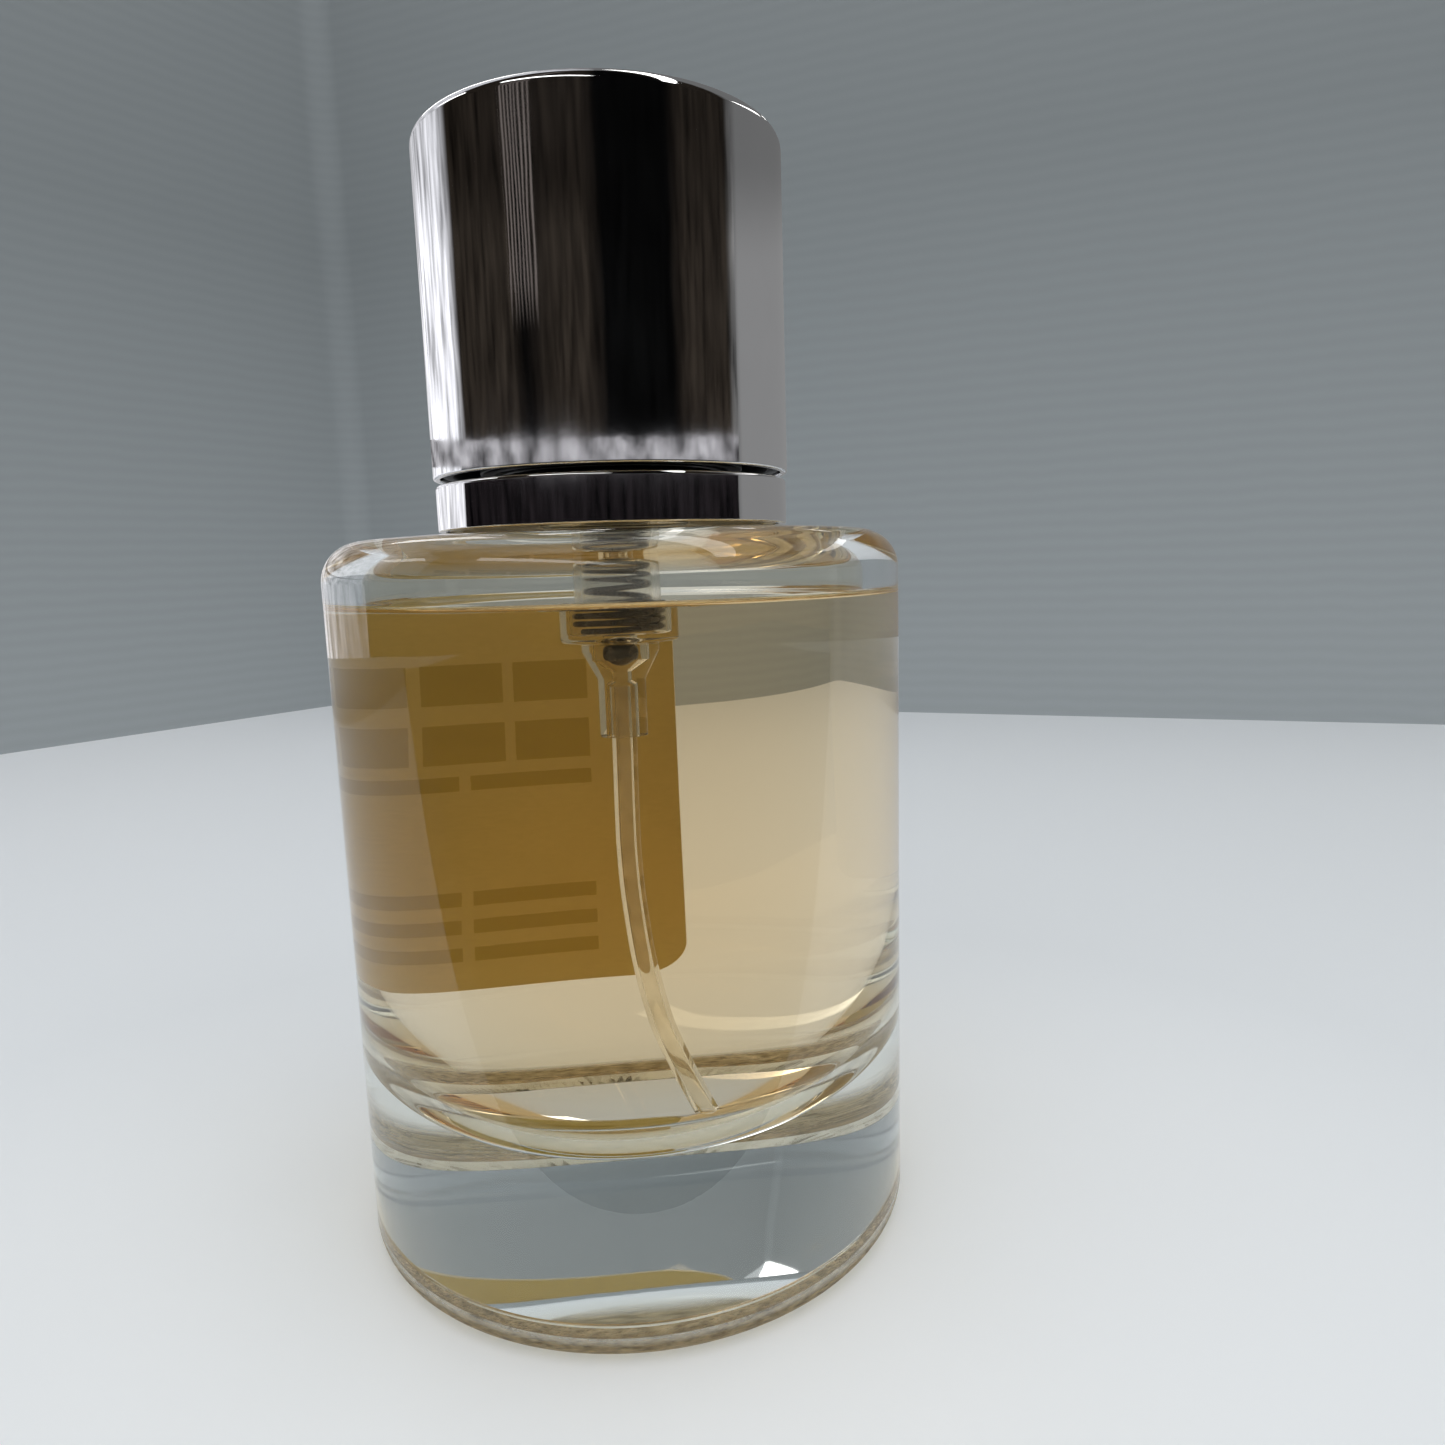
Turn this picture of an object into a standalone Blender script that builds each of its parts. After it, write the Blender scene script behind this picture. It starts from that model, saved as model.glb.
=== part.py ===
"""Round perfume bottle with a crimp spray pump, a step collar and a lift-off cap.

Metres, +Z up. The origin is the middle of the base, and the label faces -Y. Sizes are in
millimetres. A turned piece is a profile of (radius, height, corner radius) points, which runs
down its outer side and up its inner side, turned about Z.
"""
from math import cos, pi, radians, sin, sqrt, tan

import bmesh
import bpy
from mathutils import Matrix, Vector

MM = 0.001

# ---------------------------------------------------------------- glass bottle
BODY_R = 25.0
SHOULDER_Z = 62.4           # where the collar stands on the glass
SHOULDER_FALL = 0.65        # how far the shoulder slopes down to its edge
SHOULDER_EDGE_R = 3.4
HEEL_R = 2.2
FOOT_R = 19.6               # inner radius of the ring that the bottle stands on
RECESS_R = FOOT_R - 0.8
PUSH_UP = 0.9               # rise of the base inside that ring
CAVITY_R = 22.0
CAVITY_FLOOR = 11.25
CAVITY_BOWL_R = 15.0        # corner radius of the bowl-like floor
CAVITY_TOP = 60.9
CAVITY_TOP_EDGE_R = 1.2
THROAT_R = 8.0              # where the ceiling turns up towards the neck
THROAT_TOP = 63.6
NECK_BORE_R = 4.7
NECK_R = 6.45
BEAD_R = 7.5                # bead of a 15 mm crimp neck
BEAD_HEIGHT = 3.6
NECK_TOP = 71.8
FILL_LEVEL = 56.45
LIQUID_GAP = 0.15

# ---------------------------------------------------------------- label
LABEL_WIDTH = 38.0          # along the arc
LABEL_BOTTOM = 16.1
LABEL_TOP = 55.5
LABEL_CORNER = 3.5
LABEL_GAP = 0.06
LABEL_THICKNESS = 0.14

# ---------------------------------------------------------------- crimp closure
SEAT = 0.1                  # gap left between pieces that rest on each other
GASKET_THICKNESS = 0.7
FLANGE_R = 7.2
FLANGE_THICKNESS = 0.8
FLANGE_BOTTOM = NECK_TOP + GASKET_THICKNESS + 2 * SEAT
FLANGE_TOP = FLANGE_BOTTOM + FLANGE_THICKNESS
FERRULE_R = 8.3
FERRULE_WALL = 0.35
PLATE_TOP = FLANGE_TOP + 0.6
BOSS_R = 5.2                # the ferrule's raised middle, over the turret
BOSS_TOP = PLATE_TOP + 3.0
BOSS_HOLE_R = 2.3
TURRET_R = 4.7
TURRET_TOP = BOSS_TOP - FERRULE_WALL - 0.15
SPIGOT_R = 3.9              # top of the housing, inside the turret
HOUSING_TOP = FLANGE_TOP + 1.5
STEM_GASKET_THICKNESS = 0.6

# ---------------------------------------------------------------- spray pump
STROKE = 4.5
HOUSING_R = 3.95
HOUSING_BORE_R = 3.2
HOUSING_BOTTOM = 53.1
HOUSING_FLOOR = 53.7
BALL_R = 1.2
BALL_Z = 52.15
BALL_ROOM_R = 1.75
SOCKET_R = 1.6
SOCKET_BOTTOM = 45.0
CONE_BOTTOM = 49.9
FLOW_R = 0.6                # the channel through the pump
RUNNING_GAP = 0.08          # between the piston's lips and the housing
STEM_R = 1.5
STEM_TOP = 84.5
STEM_SHOULDER_R = 2.3
STEM_SHOULDER_TOP = HOUSING_TOP - SEAT
STEM_FOOT_R = 1.7
STEM_FOOT = 66.4
PISTON_TOP = 70.0
ROD_FLANGE_BOTTOM = 62.8
ROD_R = 0.85
ROD_FOOT_R = 1.6
SPRING_WIRE_R = 0.2
VALVE_SPRING_WIRE_R = 0.14

# ---------------------------------------------------------------- dip tube
TUBE_R = 0.85
TUBE_BORE_R = 0.5
TUBE_TOP = 49.3
TUBE_AZIMUTH = radians(10)  # the way the tube bends, from +Y towards +X
# How far the tube's middle stands off the bottle's axis, and at what height.
TUBE_ROUTE = [(0.0, TUBE_TOP), (0.0, 44.5), (-0.1, 38.0), (0.0, 34.0), (0.5, 30.0), (1.8, 24.8),
              (4.2, 19.9), (7.4, 16.1), (10.0, 13.7), (11.6, 12.4)]
TUBE_CUT = (10.9, 12.95)    # the middle of the slanted end
TUBE_CUT_SLOPE = (0.25, -1.0)

# ---------------------------------------------------------------- spray button
BUTTON_R = 6.95
BUTTON_BOTTOM = PLATE_TOP + STROKE + 0.3
BUTTON_TOP = 90.0
BUTTON_SLEEVE_WALL = 0.4
BUTTON_CORE_R = BUTTON_R - BUTTON_SLEEVE_WALL - 0.15
BUTTON_RECESS_R = BOSS_R + 0.3
BUTTON_RECESS_TOP = BOSS_TOP + STROKE + 0.5
NOZZLE_Z = 86.6
NOZZLE_R = 1.8
NOZZLE_DEPTH = 2.4
NOZZLE_BACK_Y = -4.3
ORIFICE_R = 0.22

# ---------------------------------------------------------------- collar and cap
COLLAR_R = 15.3
COLLAR_WALL = 0.6
COLLAR_BOTTOM = 62.65
COLLAR_STEP = 66.5          # top of the collar's wide step
COLLAR_SLEEVE_R = 10.0
COLLAR_TOP = 76.6
COLLAR_MOUTH_R = BUTTON_R + 0.45
CAP_R = 15.45
CAP_WALL = 0.6
CAP_BOTTOM = 67.0
CAP_TOP = 94.2
CAP_EDGE_R = 0.9
LINER_WALL = 1.0
CAP_CEILING = 92.1

# ---------------------------------------------------------------- facets
WIDE_STEPS = 36             # round the glass, the liquid, the collar and the cap
MIDDLE_STEPS = 24           # round the closure and the button
PUMP_STEPS = 20             # round the small pump parts
BOWL_STEPS = 7              # up the side of the bowl-like floor
CORNER_STEPS = 2            # across a rounded profile corner


# ---------------------------------------------------------------- collections and materials
def new_collection(name):
    collection = bpy.data.collections.new(name)
    bpy.context.scene.collection.children.link(collection)
    return collection


def material(name, colour, roughness, metallic=0.0, transmission=0.0, ior=1.45):
    result = bpy.data.materials.new(name)
    result.use_nodes = True
    shader = result.node_tree.nodes["Principled BSDF"]
    shader.inputs["Base Color"].default_value = (*colour, 1.0)
    shader.inputs["Roughness"].default_value = roughness
    shader.inputs["Metallic"].default_value = metallic
    shader.inputs["Transmission Weight"].default_value = transmission
    shader.inputs["IOR"].default_value = ior
    return result


# ---------------------------------------------------------------- modelling helpers
def add_piece(name, mesh, surface):
    """Shade a mesh smooth and add it to the parts."""
    mesh.shade_smooth()
    mesh.set_sharp_from_angle(angle=radians(35))
    mesh.materials.append(surface)
    obj = bpy.data.objects.new(name, mesh)
    PARTS.objects.link(obj)
    return obj


def add_cutter(name, mesh):
    obj = bpy.data.objects.new(name, mesh)
    CUTTERS.objects.link(obj)
    obj.hide_render = True
    obj.display_type = "WIRE"
    return obj


def cut(obj, *cutters):
    for cutter in cutters:
        boolean = obj.modifiers.new("cut", "BOOLEAN")
        boolean.operation = "DIFFERENCE"
        boolean.object = cutter


def place(obj, parent):
    """Parent an object without moving it."""
    bpy.context.view_layer.update()
    obj.parent = parent
    obj.matrix_parent_inverse = parent.matrix_world.inverted()


def evaluated_mesh(data, set_up=None):
    """The mesh that a curve, or a mesh with the modifiers that set_up adds, evaluates to."""
    obj = bpy.data.objects.new(data.name, data)
    PARTS.objects.link(obj)
    if set_up:
        set_up(obj)
    bpy.context.view_layer.update()
    graph = bpy.context.evaluated_depsgraph_get()
    mesh = bpy.data.meshes.new_from_object(obj.evaluated_get(graph))
    bpy.data.objects.remove(obj)
    return mesh


def rounded(points, closed):
    """The outline through (radius, height, corner radius) points, with its corners rounded."""
    outline = []
    for i, point in enumerate(points):
        here = Vector(point[:2])
        at_end = not closed and i in (0, len(points) - 1)
        if len(point) < 3 or at_end:
            outline.append(here)
            continue
        corner_r = point[2]
        to_last = (Vector(points[i - 1][:2]) - here).normalized()
        to_next = (Vector(points[(i + 1) % len(points)][:2]) - here).normalized()
        half = to_last.angle(to_next) / 2
        centre = here + (to_last + to_next).normalized() * (corner_r / sin(half))
        start = here + to_last * (corner_r / tan(half)) - centre
        end = here + to_next * (corner_r / tan(half)) - centre
        sweep = start.angle_signed(end)
        for step in range(CORNER_STEPS + 1):
            outline.append(centre + Matrix.Rotation(-sweep * step / CORNER_STEPS, 2) @ start)
    return outline


def turned_mesh(name, points, steps, closed):
    """Turn a profile about Z: a closed loop, or a line that starts and ends on the axis."""
    outline = rounded(points, closed)
    edges = [(i, i + 1) for i in range(len(outline) - 1)]
    if closed:
        edges.append((len(outline) - 1, 0))
    profile = bpy.data.meshes.new(name)
    profile.from_pydata([(r * MM, 0.0, z * MM) for r, z in outline], edges, [])

    def add_screw(obj):
        screw = obj.modifiers.new("turn", "SCREW")
        screw.axis = "Z"
        screw.angle = 2 * pi
        screw.steps = steps
        screw.render_steps = steps
        screw.use_merge_vertices = True
        screw.merge_threshold = 0.00001

    return evaluated_mesh(profile, add_screw)


def turned(name, surface, points, steps=WIDE_STEPS, closed=True):
    return add_piece(name, turned_mesh(name, points, steps, closed), surface)


def tube_mesh(name, points, radius, resolution, caps=True):
    """A round tube of the given radius along points."""
    curve = bpy.data.curves.new(name, "CURVE")
    curve.dimensions = "3D"
    curve.bevel_depth = radius * MM
    curve.bevel_resolution = resolution
    curve.use_fill_caps = caps
    spline = curve.splines.new("POLY")
    spline.points.add(len(points) - 1)
    for target, point in zip(spline.points, points):
        target.co = (*[c * MM for c in point], 1.0)
    mesh = evaluated_mesh(curve)
    body = bmesh.new()
    body.from_mesh(mesh)
    bmesh.ops.remove_doubles(body, verts=body.verts, dist=0.000001)
    body.to_mesh(mesh)
    body.free()
    return mesh


def smooth_route(route, pieces):
    """Points along a smooth curve through the given ones (Catmull-Rom)."""
    ends = route[0] * 2 - route[1], route[-1] * 2 - route[-2]
    points = [ends[0], *route, ends[1]]
    result = []
    for a, b, c, d in zip(points, points[1:], points[2:], points[3:]):
        for t in (k / pieces for k in range(pieces)):
            result.append((2 * b + (c - a) * t + (2 * a - 5 * b + 4 * c - d) * t ** 2
                           + (3 * b - a - 3 * c + d) * t ** 3) / 2)
    return result + [route[-1]]


# ---------------------------------------------------------------- glass, liquid and label
def cavity_floor(inset):
    """The bowl-like floor of the cavity, from its middle up to the straight wall."""
    flat_r = CAVITY_R - CAVITY_BOWL_R
    bowl_r = CAVITY_BOWL_R - inset
    centre_z = CAVITY_FLOOR + CAVITY_BOWL_R
    angles = [pi / 2 * k / BOWL_STEPS for k in range(BOWL_STEPS + 1)]
    bowl = [(flat_r + bowl_r * sin(a), centre_z - bowl_r * cos(a)) for a in angles]
    return [(0.0, CAVITY_FLOOR + inset)] + bowl


def glass_bottle():
    recess = [
        (RECESS_R, PUSH_UP - 0.15, 0.5),
        (RECESS_R * 0.6, PUSH_UP - 0.05),
        (0.0, PUSH_UP),
    ]
    bead_bottom = NECK_TOP - BEAD_HEIGHT
    profile = cavity_floor(0.0) + [
        (CAVITY_R, CAVITY_TOP, CAVITY_TOP_EDGE_R),
        (THROAT_R, CAVITY_TOP + 0.2, 2.0),
        (NECK_BORE_R, THROAT_TOP, 1.5),
        (NECK_BORE_R, NECK_TOP, 0.3),
        (BEAD_R, NECK_TOP, 0.6),
        (BEAD_R, bead_bottom, 0.5),
        (NECK_R, bead_bottom - 0.5, 0.3),
        (NECK_R, SHOULDER_Z + 0.5, 0.8),
        (COLLAR_R, SHOULDER_Z),
        (BODY_R, SHOULDER_Z - SHOULDER_FALL, SHOULDER_EDGE_R),
        (BODY_R, 0.0, HEEL_R),
        (FOOT_R, 0.0),
    ] + recess
    turned("glass_bottle", GLASS, profile, closed=False)


def tube_route():
    """The dip tube's route, bent in one upright plane."""
    return [Vector((off * sin(TUBE_AZIMUTH), off * cos(TUBE_AZIMUTH), z)) for off, z in TUBE_ROUTE]


def perfume():
    """The liquid, with room left for the pump and the dip tube."""
    floor = list(reversed(cavity_floor(LIQUID_GAP)))
    profile = [(0.0, FILL_LEVEL), (CAVITY_R - LIQUID_GAP, FILL_LEVEL), *floor]
    liquid = turned("perfume", LIQUID, profile, closed=False)
    room = 0.3
    pump_room = [
        (0.0, FILL_LEVEL + 2.0),
        (HOUSING_R + room, FILL_LEVEL + 2.0),
        (HOUSING_R + room, HOUSING_BOTTOM - 0.5),
        (3.0, HOUSING_BOTTOM - 1.2),
        (SOCKET_R + room, CONE_BOTTOM - 0.4),
        (SOCKET_R + room, SOCKET_BOTTOM - room),
        (0.0, SOCKET_BOTTOM - room),
    ]
    tube_room = tube_mesh("tube_room", smooth_route(tube_route(), 2), TUBE_R + room, 2)
    cut(liquid, add_cutter("pump_room", turned_mesh("pump_room", pump_room, PUMP_STEPS, False)),
        add_cutter("tube_room", tube_room))


def front_label():
    """A bent sheet with rounded corners, made of upright strips and thickened outwards."""
    inner_r = BODY_R + LABEL_GAP
    half = LABEL_WIDTH / 2
    straight = half - LABEL_CORNER
    corner = [half - LABEL_CORNER * (1 - cos(pi / 2 * k / 4)) for k in range(5)]
    middle = [straight * (1 - k / 6) for k in range(1, 12)]
    columns = corner + middle + [-s for s in reversed(corner)]
    points = []
    for s in columns:
        into_corner = max(abs(s) - straight, 0.0)
        fall = LABEL_CORNER - sqrt(max(LABEL_CORNER ** 2 - into_corner ** 2, 0.0))
        x = inner_r * sin(s / BODY_R)
        y = -inner_r * cos(s / BODY_R)
        points += [(x * MM, y * MM, z * MM) for z in (LABEL_BOTTOM + fall, LABEL_TOP - fall)]
    faces = [(2 * i + 2, 2 * i, 2 * i + 1, 2 * i + 3) for i in range(len(columns) - 1)]
    mesh = bpy.data.meshes.new("front_label")
    mesh.from_pydata(points, [], faces)
    label = add_piece("front_label", mesh, PAPER)
    solidify = label.modifiers.new("thickness", "SOLIDIFY")
    solidify.thickness = LABEL_THICKNESS * MM
    solidify.offset = 1.0


# ---------------------------------------------------------------- crimp closure
def ring(name, surface, outer_r, inner_r, bottom, height, steps=MIDDLE_STEPS):
    top = bottom + height
    turned(name, surface, [(outer_r, top), (outer_r, bottom), (inner_r, bottom), (inner_r, top)], steps)


def crimp_ferrule():
    """A boss over the turret, a plate on the flange, and a skirt rolled in under the bead."""
    skirt_inner_r = FERRULE_R - FERRULE_WALL - 0.05
    boss_inner_r = BOSS_R - FERRULE_WALL
    bead_bottom = NECK_TOP - BEAD_HEIGHT
    turned("crimp_ferrule", ALUMINIUM, [
        (BOSS_HOLE_R, BOSS_TOP),
        (BOSS_R, BOSS_TOP, 0.6),
        (BOSS_R, PLATE_TOP),
        (FERRULE_R, PLATE_TOP, 0.6),
        (FERRULE_R, bead_bottom - 0.2),
        (7.1, bead_bottom - 1.1),
        (6.8, bead_bottom - 0.8),
        (skirt_inner_r, bead_bottom + 0.05),
        (skirt_inner_r, PLATE_TOP - FERRULE_WALL),
        (boss_inner_r, PLATE_TOP - FERRULE_WALL),
        (boss_inner_r, BOSS_TOP - FERRULE_WALL),
        (BOSS_HOLE_R, BOSS_TOP - FERRULE_WALL),
    ], MIDDLE_STEPS)


def turret():
    """Plastic cap snapped on the housing, which holds in the stem and its gasket."""
    hole_r = STEM_R + 0.3
    inner_r = SPIGOT_R + 0.2
    turned("turret", CLEAR_PLASTIC, [
        (hole_r, TURRET_TOP),
        (TURRET_R, TURRET_TOP, 0.3),
        (TURRET_R, FLANGE_TOP + 0.15),
        (inner_r, FLANGE_TOP + 0.15),
        (inner_r, TURRET_TOP - 0.7),
        (hole_r, TURRET_TOP - 0.7),
    ], PUMP_STEPS)


# ---------------------------------------------------------------- spray pump
def pump_housing():
    """Moulded pump body: spigot, flange, cylinder, ball seat and dip tube socket."""
    tube_hole_r = TUBE_R + 0.1
    turned("pump_housing", CLEAR_PLASTIC, [
        (SPIGOT_R, HOUSING_TOP),
        (SPIGOT_R, FLANGE_TOP),
        (FLANGE_R, FLANGE_TOP),
        (FLANGE_R, FLANGE_BOTTOM),
        (HOUSING_R, FLANGE_BOTTOM),
        (HOUSING_R, HOUSING_BOTTOM, 0.25),
        (2.6, HOUSING_BOTTOM - 0.2),
        (2.6, HOUSING_BOTTOM - 0.8, 0.2),
        (SOCKET_R, CONE_BOTTOM),
        (SOCKET_R, SOCKET_BOTTOM),
        (tube_hole_r, SOCKET_BOTTOM),
        (tube_hole_r, TUBE_TOP + 0.2),
        (FLOW_R, TUBE_TOP + 0.5),
        (FLOW_R, BALL_Z - 1.55),
        (BALL_ROOM_R, BALL_Z - 0.55),
        (BALL_ROOM_R, HOUSING_FLOOR - 0.6),
        (BALL_R - 0.15, HOUSING_FLOOR - 0.3),
        (BALL_R - 0.15, HOUSING_FLOOR),
        (HOUSING_BORE_R, HOUSING_FLOOR),
        (HOUSING_BORE_R, HOUSING_TOP),
    ], PUMP_STEPS)


def check_ball():
    mesh = bpy.data.meshes.new("check_ball")
    body = bmesh.new()
    bmesh.ops.create_uvsphere(body, u_segments=14, v_segments=10, radius=BALL_R * MM)
    body.to_mesh(mesh)
    body.free()
    ball = add_piece("check_ball", mesh, STEEL)
    ball.location.z = BALL_Z * MM


def dip_tube():
    """Thin bent tube from its socket to the floor of the bottle, cut slanted at its end."""
    across, down = TUBE_CUT
    slope_across, slope_down = TUBE_CUT_SLOPE
    way = Vector((sin(TUBE_AZIMUTH), cos(TUBE_AZIMUTH), 0.0))
    mesh = tube_mesh("dip_tube", smooth_route(tube_route(), 2), TUBE_R, 2, caps=False)
    body = bmesh.new()
    body.from_mesh(mesh)
    bmesh.ops.bisect_plane(body, geom=body.verts[:] + body.edges[:] + body.faces[:],
                           plane_co=(way * across + Vector((0.0, 0.0, down))) * MM,
                           plane_no=way * slope_across + Vector((0.0, 0.0, slope_down)),
                           clear_outer=True)
    body.to_mesh(mesh)
    body.free()
    tube = add_piece("dip_tube", mesh, CLEAR_PLASTIC)
    solidify = tube.modifiers.new("wall", "SOLIDIFY")
    solidify.thickness = (TUBE_R - TUBE_BORE_R) * MM
    solidify.offset = -1.0


def spring(name, radius, wire_r, bottom, top, closed_turns, open_turns, parent):
    """A compression spring, with close-wound turns at both ends and open ones between."""
    steps_per_turn = 9
    close_pitch = 2 * wire_r + 0.06
    open_pitch = (top - bottom - 2 * wire_r - 2 * closed_turns * close_pitch) / open_turns
    turns = 2 * closed_turns + open_turns
    points = []
    for step in range(int(turns * steps_per_turn) + 1):
        turn = step / steps_per_turn
        opened = min(max(turn - closed_turns, 0.0), open_turns)
        z = bottom + wire_r + (turn - opened) * close_pitch + opened * open_pitch
        points.append((radius * cos(2 * pi * turn), radius * sin(2 * pi * turn), z))
    place(add_piece(name, tube_mesh(name, points, wire_r, 1), STEEL), parent)


def stem(parent):
    """Hollow stem: its shoulder stops under the gasket, and its foot carries the piston."""
    shoulder_bottom = STEM_SHOULDER_TOP - 0.8
    place(turned("stem", WHITE_PLASTIC, [
        (STEM_R, STEM_TOP, 0.2),
        (STEM_R, STEM_SHOULDER_TOP),
        (STEM_SHOULDER_R, STEM_SHOULDER_TOP),
        (STEM_SHOULDER_R, shoulder_bottom),
        (STEM_FOOT_R, shoulder_bottom),
        (STEM_FOOT_R, STEM_FOOT),
        (ROD_R + 0.15, STEM_FOOT),
        (ROD_R + 0.15, STEM_FOOT + 4.6),
        (FLOW_R, STEM_FOOT + 5.0),
        (FLOW_R, STEM_TOP),
    ], PUMP_STEPS), parent)


def valve_rod(parent):
    """Rod snapped into the stem: its cone closes the piston, its flange sits on the spring."""
    flange_top = ROD_FLANGE_BOTTOM + 0.8
    place(turned("valve_rod", WHITE_PLASTIC, [
        (0.0, STEM_FOOT + 4.2),
        (ROD_R, STEM_FOOT + 4.2),
        (ROD_R, STEM_FOOT - 0.2),
        (2.1, flange_top + 1.3),
        (2.1, flange_top),
        (2.8, flange_top),
        (2.8, ROD_FLANGE_BOTTOM),
        (ROD_FOOT_R, ROD_FLANGE_BOTTOM),
        (ROD_FOOT_R, ROD_FLANGE_BOTTOM - 3.8),
        (0.0, ROD_FLANGE_BOTTOM - 4.0),
    ], PUMP_STEPS, closed=False), parent)


def piston(parent):
    """Piston that slides a little on the stem; its two lips wipe the housing."""
    lip_r = HOUSING_BORE_R - RUNNING_GAP
    waist_r = 2.7
    bore_r = STEM_FOOT_R + 0.15
    place(turned("piston", WHITE_PLASTIC, [
        (lip_r, PISTON_TOP),
        (lip_r, PISTON_TOP - 0.7),
        (waist_r, PISTON_TOP - 1.3),
        (waist_r, PISTON_TOP - 2.6),
        (lip_r, PISTON_TOP - 3.2),
        (lip_r, PISTON_TOP - 4.0),
        (2.5, PISTON_TOP - 5.0),
        (bore_r, PISTON_TOP - 4.6),
        (bore_r, PISTON_TOP - 0.8),
        (2.6, PISTON_TOP - 0.4),
        (2.7, PISTON_TOP),
    ], PUMP_STEPS), parent)


# ---------------------------------------------------------------- spray button
def bore_cutter(name, radius, front_y, back_y, segments=PUMP_STEPS):
    """A cylinder along Y at the nozzle's height."""
    mesh = bpy.data.meshes.new(name)
    body = bmesh.new()
    bmesh.ops.create_cone(body, cap_ends=True, segments=segments, radius1=radius * MM,
                          radius2=radius * MM, depth=(back_y - front_y) * MM)
    body.to_mesh(mesh)
    body.free()
    cutter = add_cutter(name, mesh)
    cutter.rotation_euler.x = pi / 2
    cutter.location = Vector((0.0, (front_y + back_y) / 2, NOZZLE_Z)) * MM
    return cutter


def button_core(parent):
    """Plastic core with a recess over the ferrule's boss, a socket for the stem and a nozzle room."""
    top = BUTTON_TOP - BUTTON_SLEEVE_WALL - 0.15
    bottom = BUTTON_BOTTOM + 0.1
    socket_r = STEM_R + 0.1
    core = turned("button_core", WHITE_PLASTIC, [
        (0.0, top),
        (BUTTON_CORE_R, top, 0.3),
        (BUTTON_CORE_R, bottom),
        (BUTTON_RECESS_R, bottom),
        (BUTTON_RECESS_R, BUTTON_RECESS_TOP),
        (socket_r, BUTTON_RECESS_TOP),
        (socket_r, STEM_TOP + 0.2),
        (FLOW_R, STEM_TOP + 0.3),
        (FLOW_R, NOZZLE_Z + 0.3),
        (0.0, NOZZLE_Z + 0.3),
    ], MIDDLE_STEPS, closed=False)
    outside = -BUTTON_R - 1.0
    cut(core, bore_cutter("nozzle_room", NOZZLE_R + 0.1, outside, NOZZLE_BACK_Y + 0.2),
        bore_cutter("nozzle_channel", 0.5, NOZZLE_BACK_Y, 0.2, 12))
    place(core, parent)


def button_sleeve(parent):
    """Thin metal shell over the core, with a window for the nozzle."""
    inner_r = BUTTON_R - BUTTON_SLEEVE_WALL
    inner_top = BUTTON_TOP - BUTTON_SLEEVE_WALL
    sleeve = turned("button_sleeve", CHROME, [
        (0.0, BUTTON_TOP),
        (BUTTON_R, BUTTON_TOP, 0.7),
        (BUTTON_R, BUTTON_BOTTOM),
        (inner_r, BUTTON_BOTTOM),
        (inner_r, inner_top),
        (0.0, inner_top),
    ], MIDDLE_STEPS, closed=False)
    cut(sleeve, bore_cutter("nozzle_window", NOZZLE_R + 0.4, -BUTTON_R - 1.0, NOZZLE_BACK_Y))
    place(sleeve, parent)


def nozzle_insert(parent):
    """Small cup with the spray orifice, pressed into the core and turned to face -Y."""
    insert = turned("nozzle_insert", WHITE_PLASTIC, [
        (0.5, NOZZLE_DEPTH),
        (NOZZLE_R, NOZZLE_DEPTH, 0.2),
        (NOZZLE_R, 0.0),
        (1.2, 0.0),
        (1.2, NOZZLE_DEPTH - 0.8),
        (ORIFICE_R, NOZZLE_DEPTH - 0.6),
        (ORIFICE_R, NOZZLE_DEPTH - 0.3),
    ], 16)
    insert.rotation_euler.x = pi / 2
    insert.location = Vector((0.0, NOZZLE_BACK_Y, NOZZLE_Z)) * MM
    place(insert, parent)


# ---------------------------------------------------------------- collar and cap
def collar_shell():
    """Metal step collar: a wide step that shows under the cap, and a sleeve inside the cap."""
    turned("collar_shell", CHROME, [
        (COLLAR_MOUTH_R, COLLAR_TOP),
        (COLLAR_SLEEVE_R, COLLAR_TOP, 0.5),
        (COLLAR_SLEEVE_R, COLLAR_STEP),
        (COLLAR_R, COLLAR_STEP, 0.35),
        (COLLAR_R, COLLAR_BOTTOM),
        (COLLAR_R - COLLAR_WALL, COLLAR_BOTTOM),
        (COLLAR_R - COLLAR_WALL, COLLAR_STEP - COLLAR_WALL),
        (COLLAR_SLEEVE_R - COLLAR_WALL, COLLAR_STEP - COLLAR_WALL),
        (COLLAR_SLEEVE_R - COLLAR_WALL, COLLAR_TOP - COLLAR_WALL),
        (COLLAR_MOUTH_R, COLLAR_TOP - COLLAR_WALL),
    ])


def collar_liner():
    """Plastic ring between the ferrule and the collar, with a flange under the wide step."""
    grip_r = FERRULE_R + 0.2
    sleeve_r = COLLAR_SLEEVE_R - COLLAR_WALL - 0.2
    rim_r = COLLAR_R - COLLAR_WALL - 0.3
    flange_top = COLLAR_STEP - COLLAR_WALL - 0.3
    foot = SHOULDER_Z + 0.35
    turned("collar_liner", WHITE_PLASTIC, [
        (sleeve_r, PLATE_TOP - 0.1),
        (sleeve_r, flange_top),
        (rim_r, flange_top),
        (rim_r, foot),
        (rim_r - LINER_WALL, foot),
        (rim_r - LINER_WALL, flange_top - 1.2),
        (grip_r, flange_top - 1.2),
        (grip_r, PLATE_TOP - 0.1),
    ], MIDDLE_STEPS)


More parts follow.
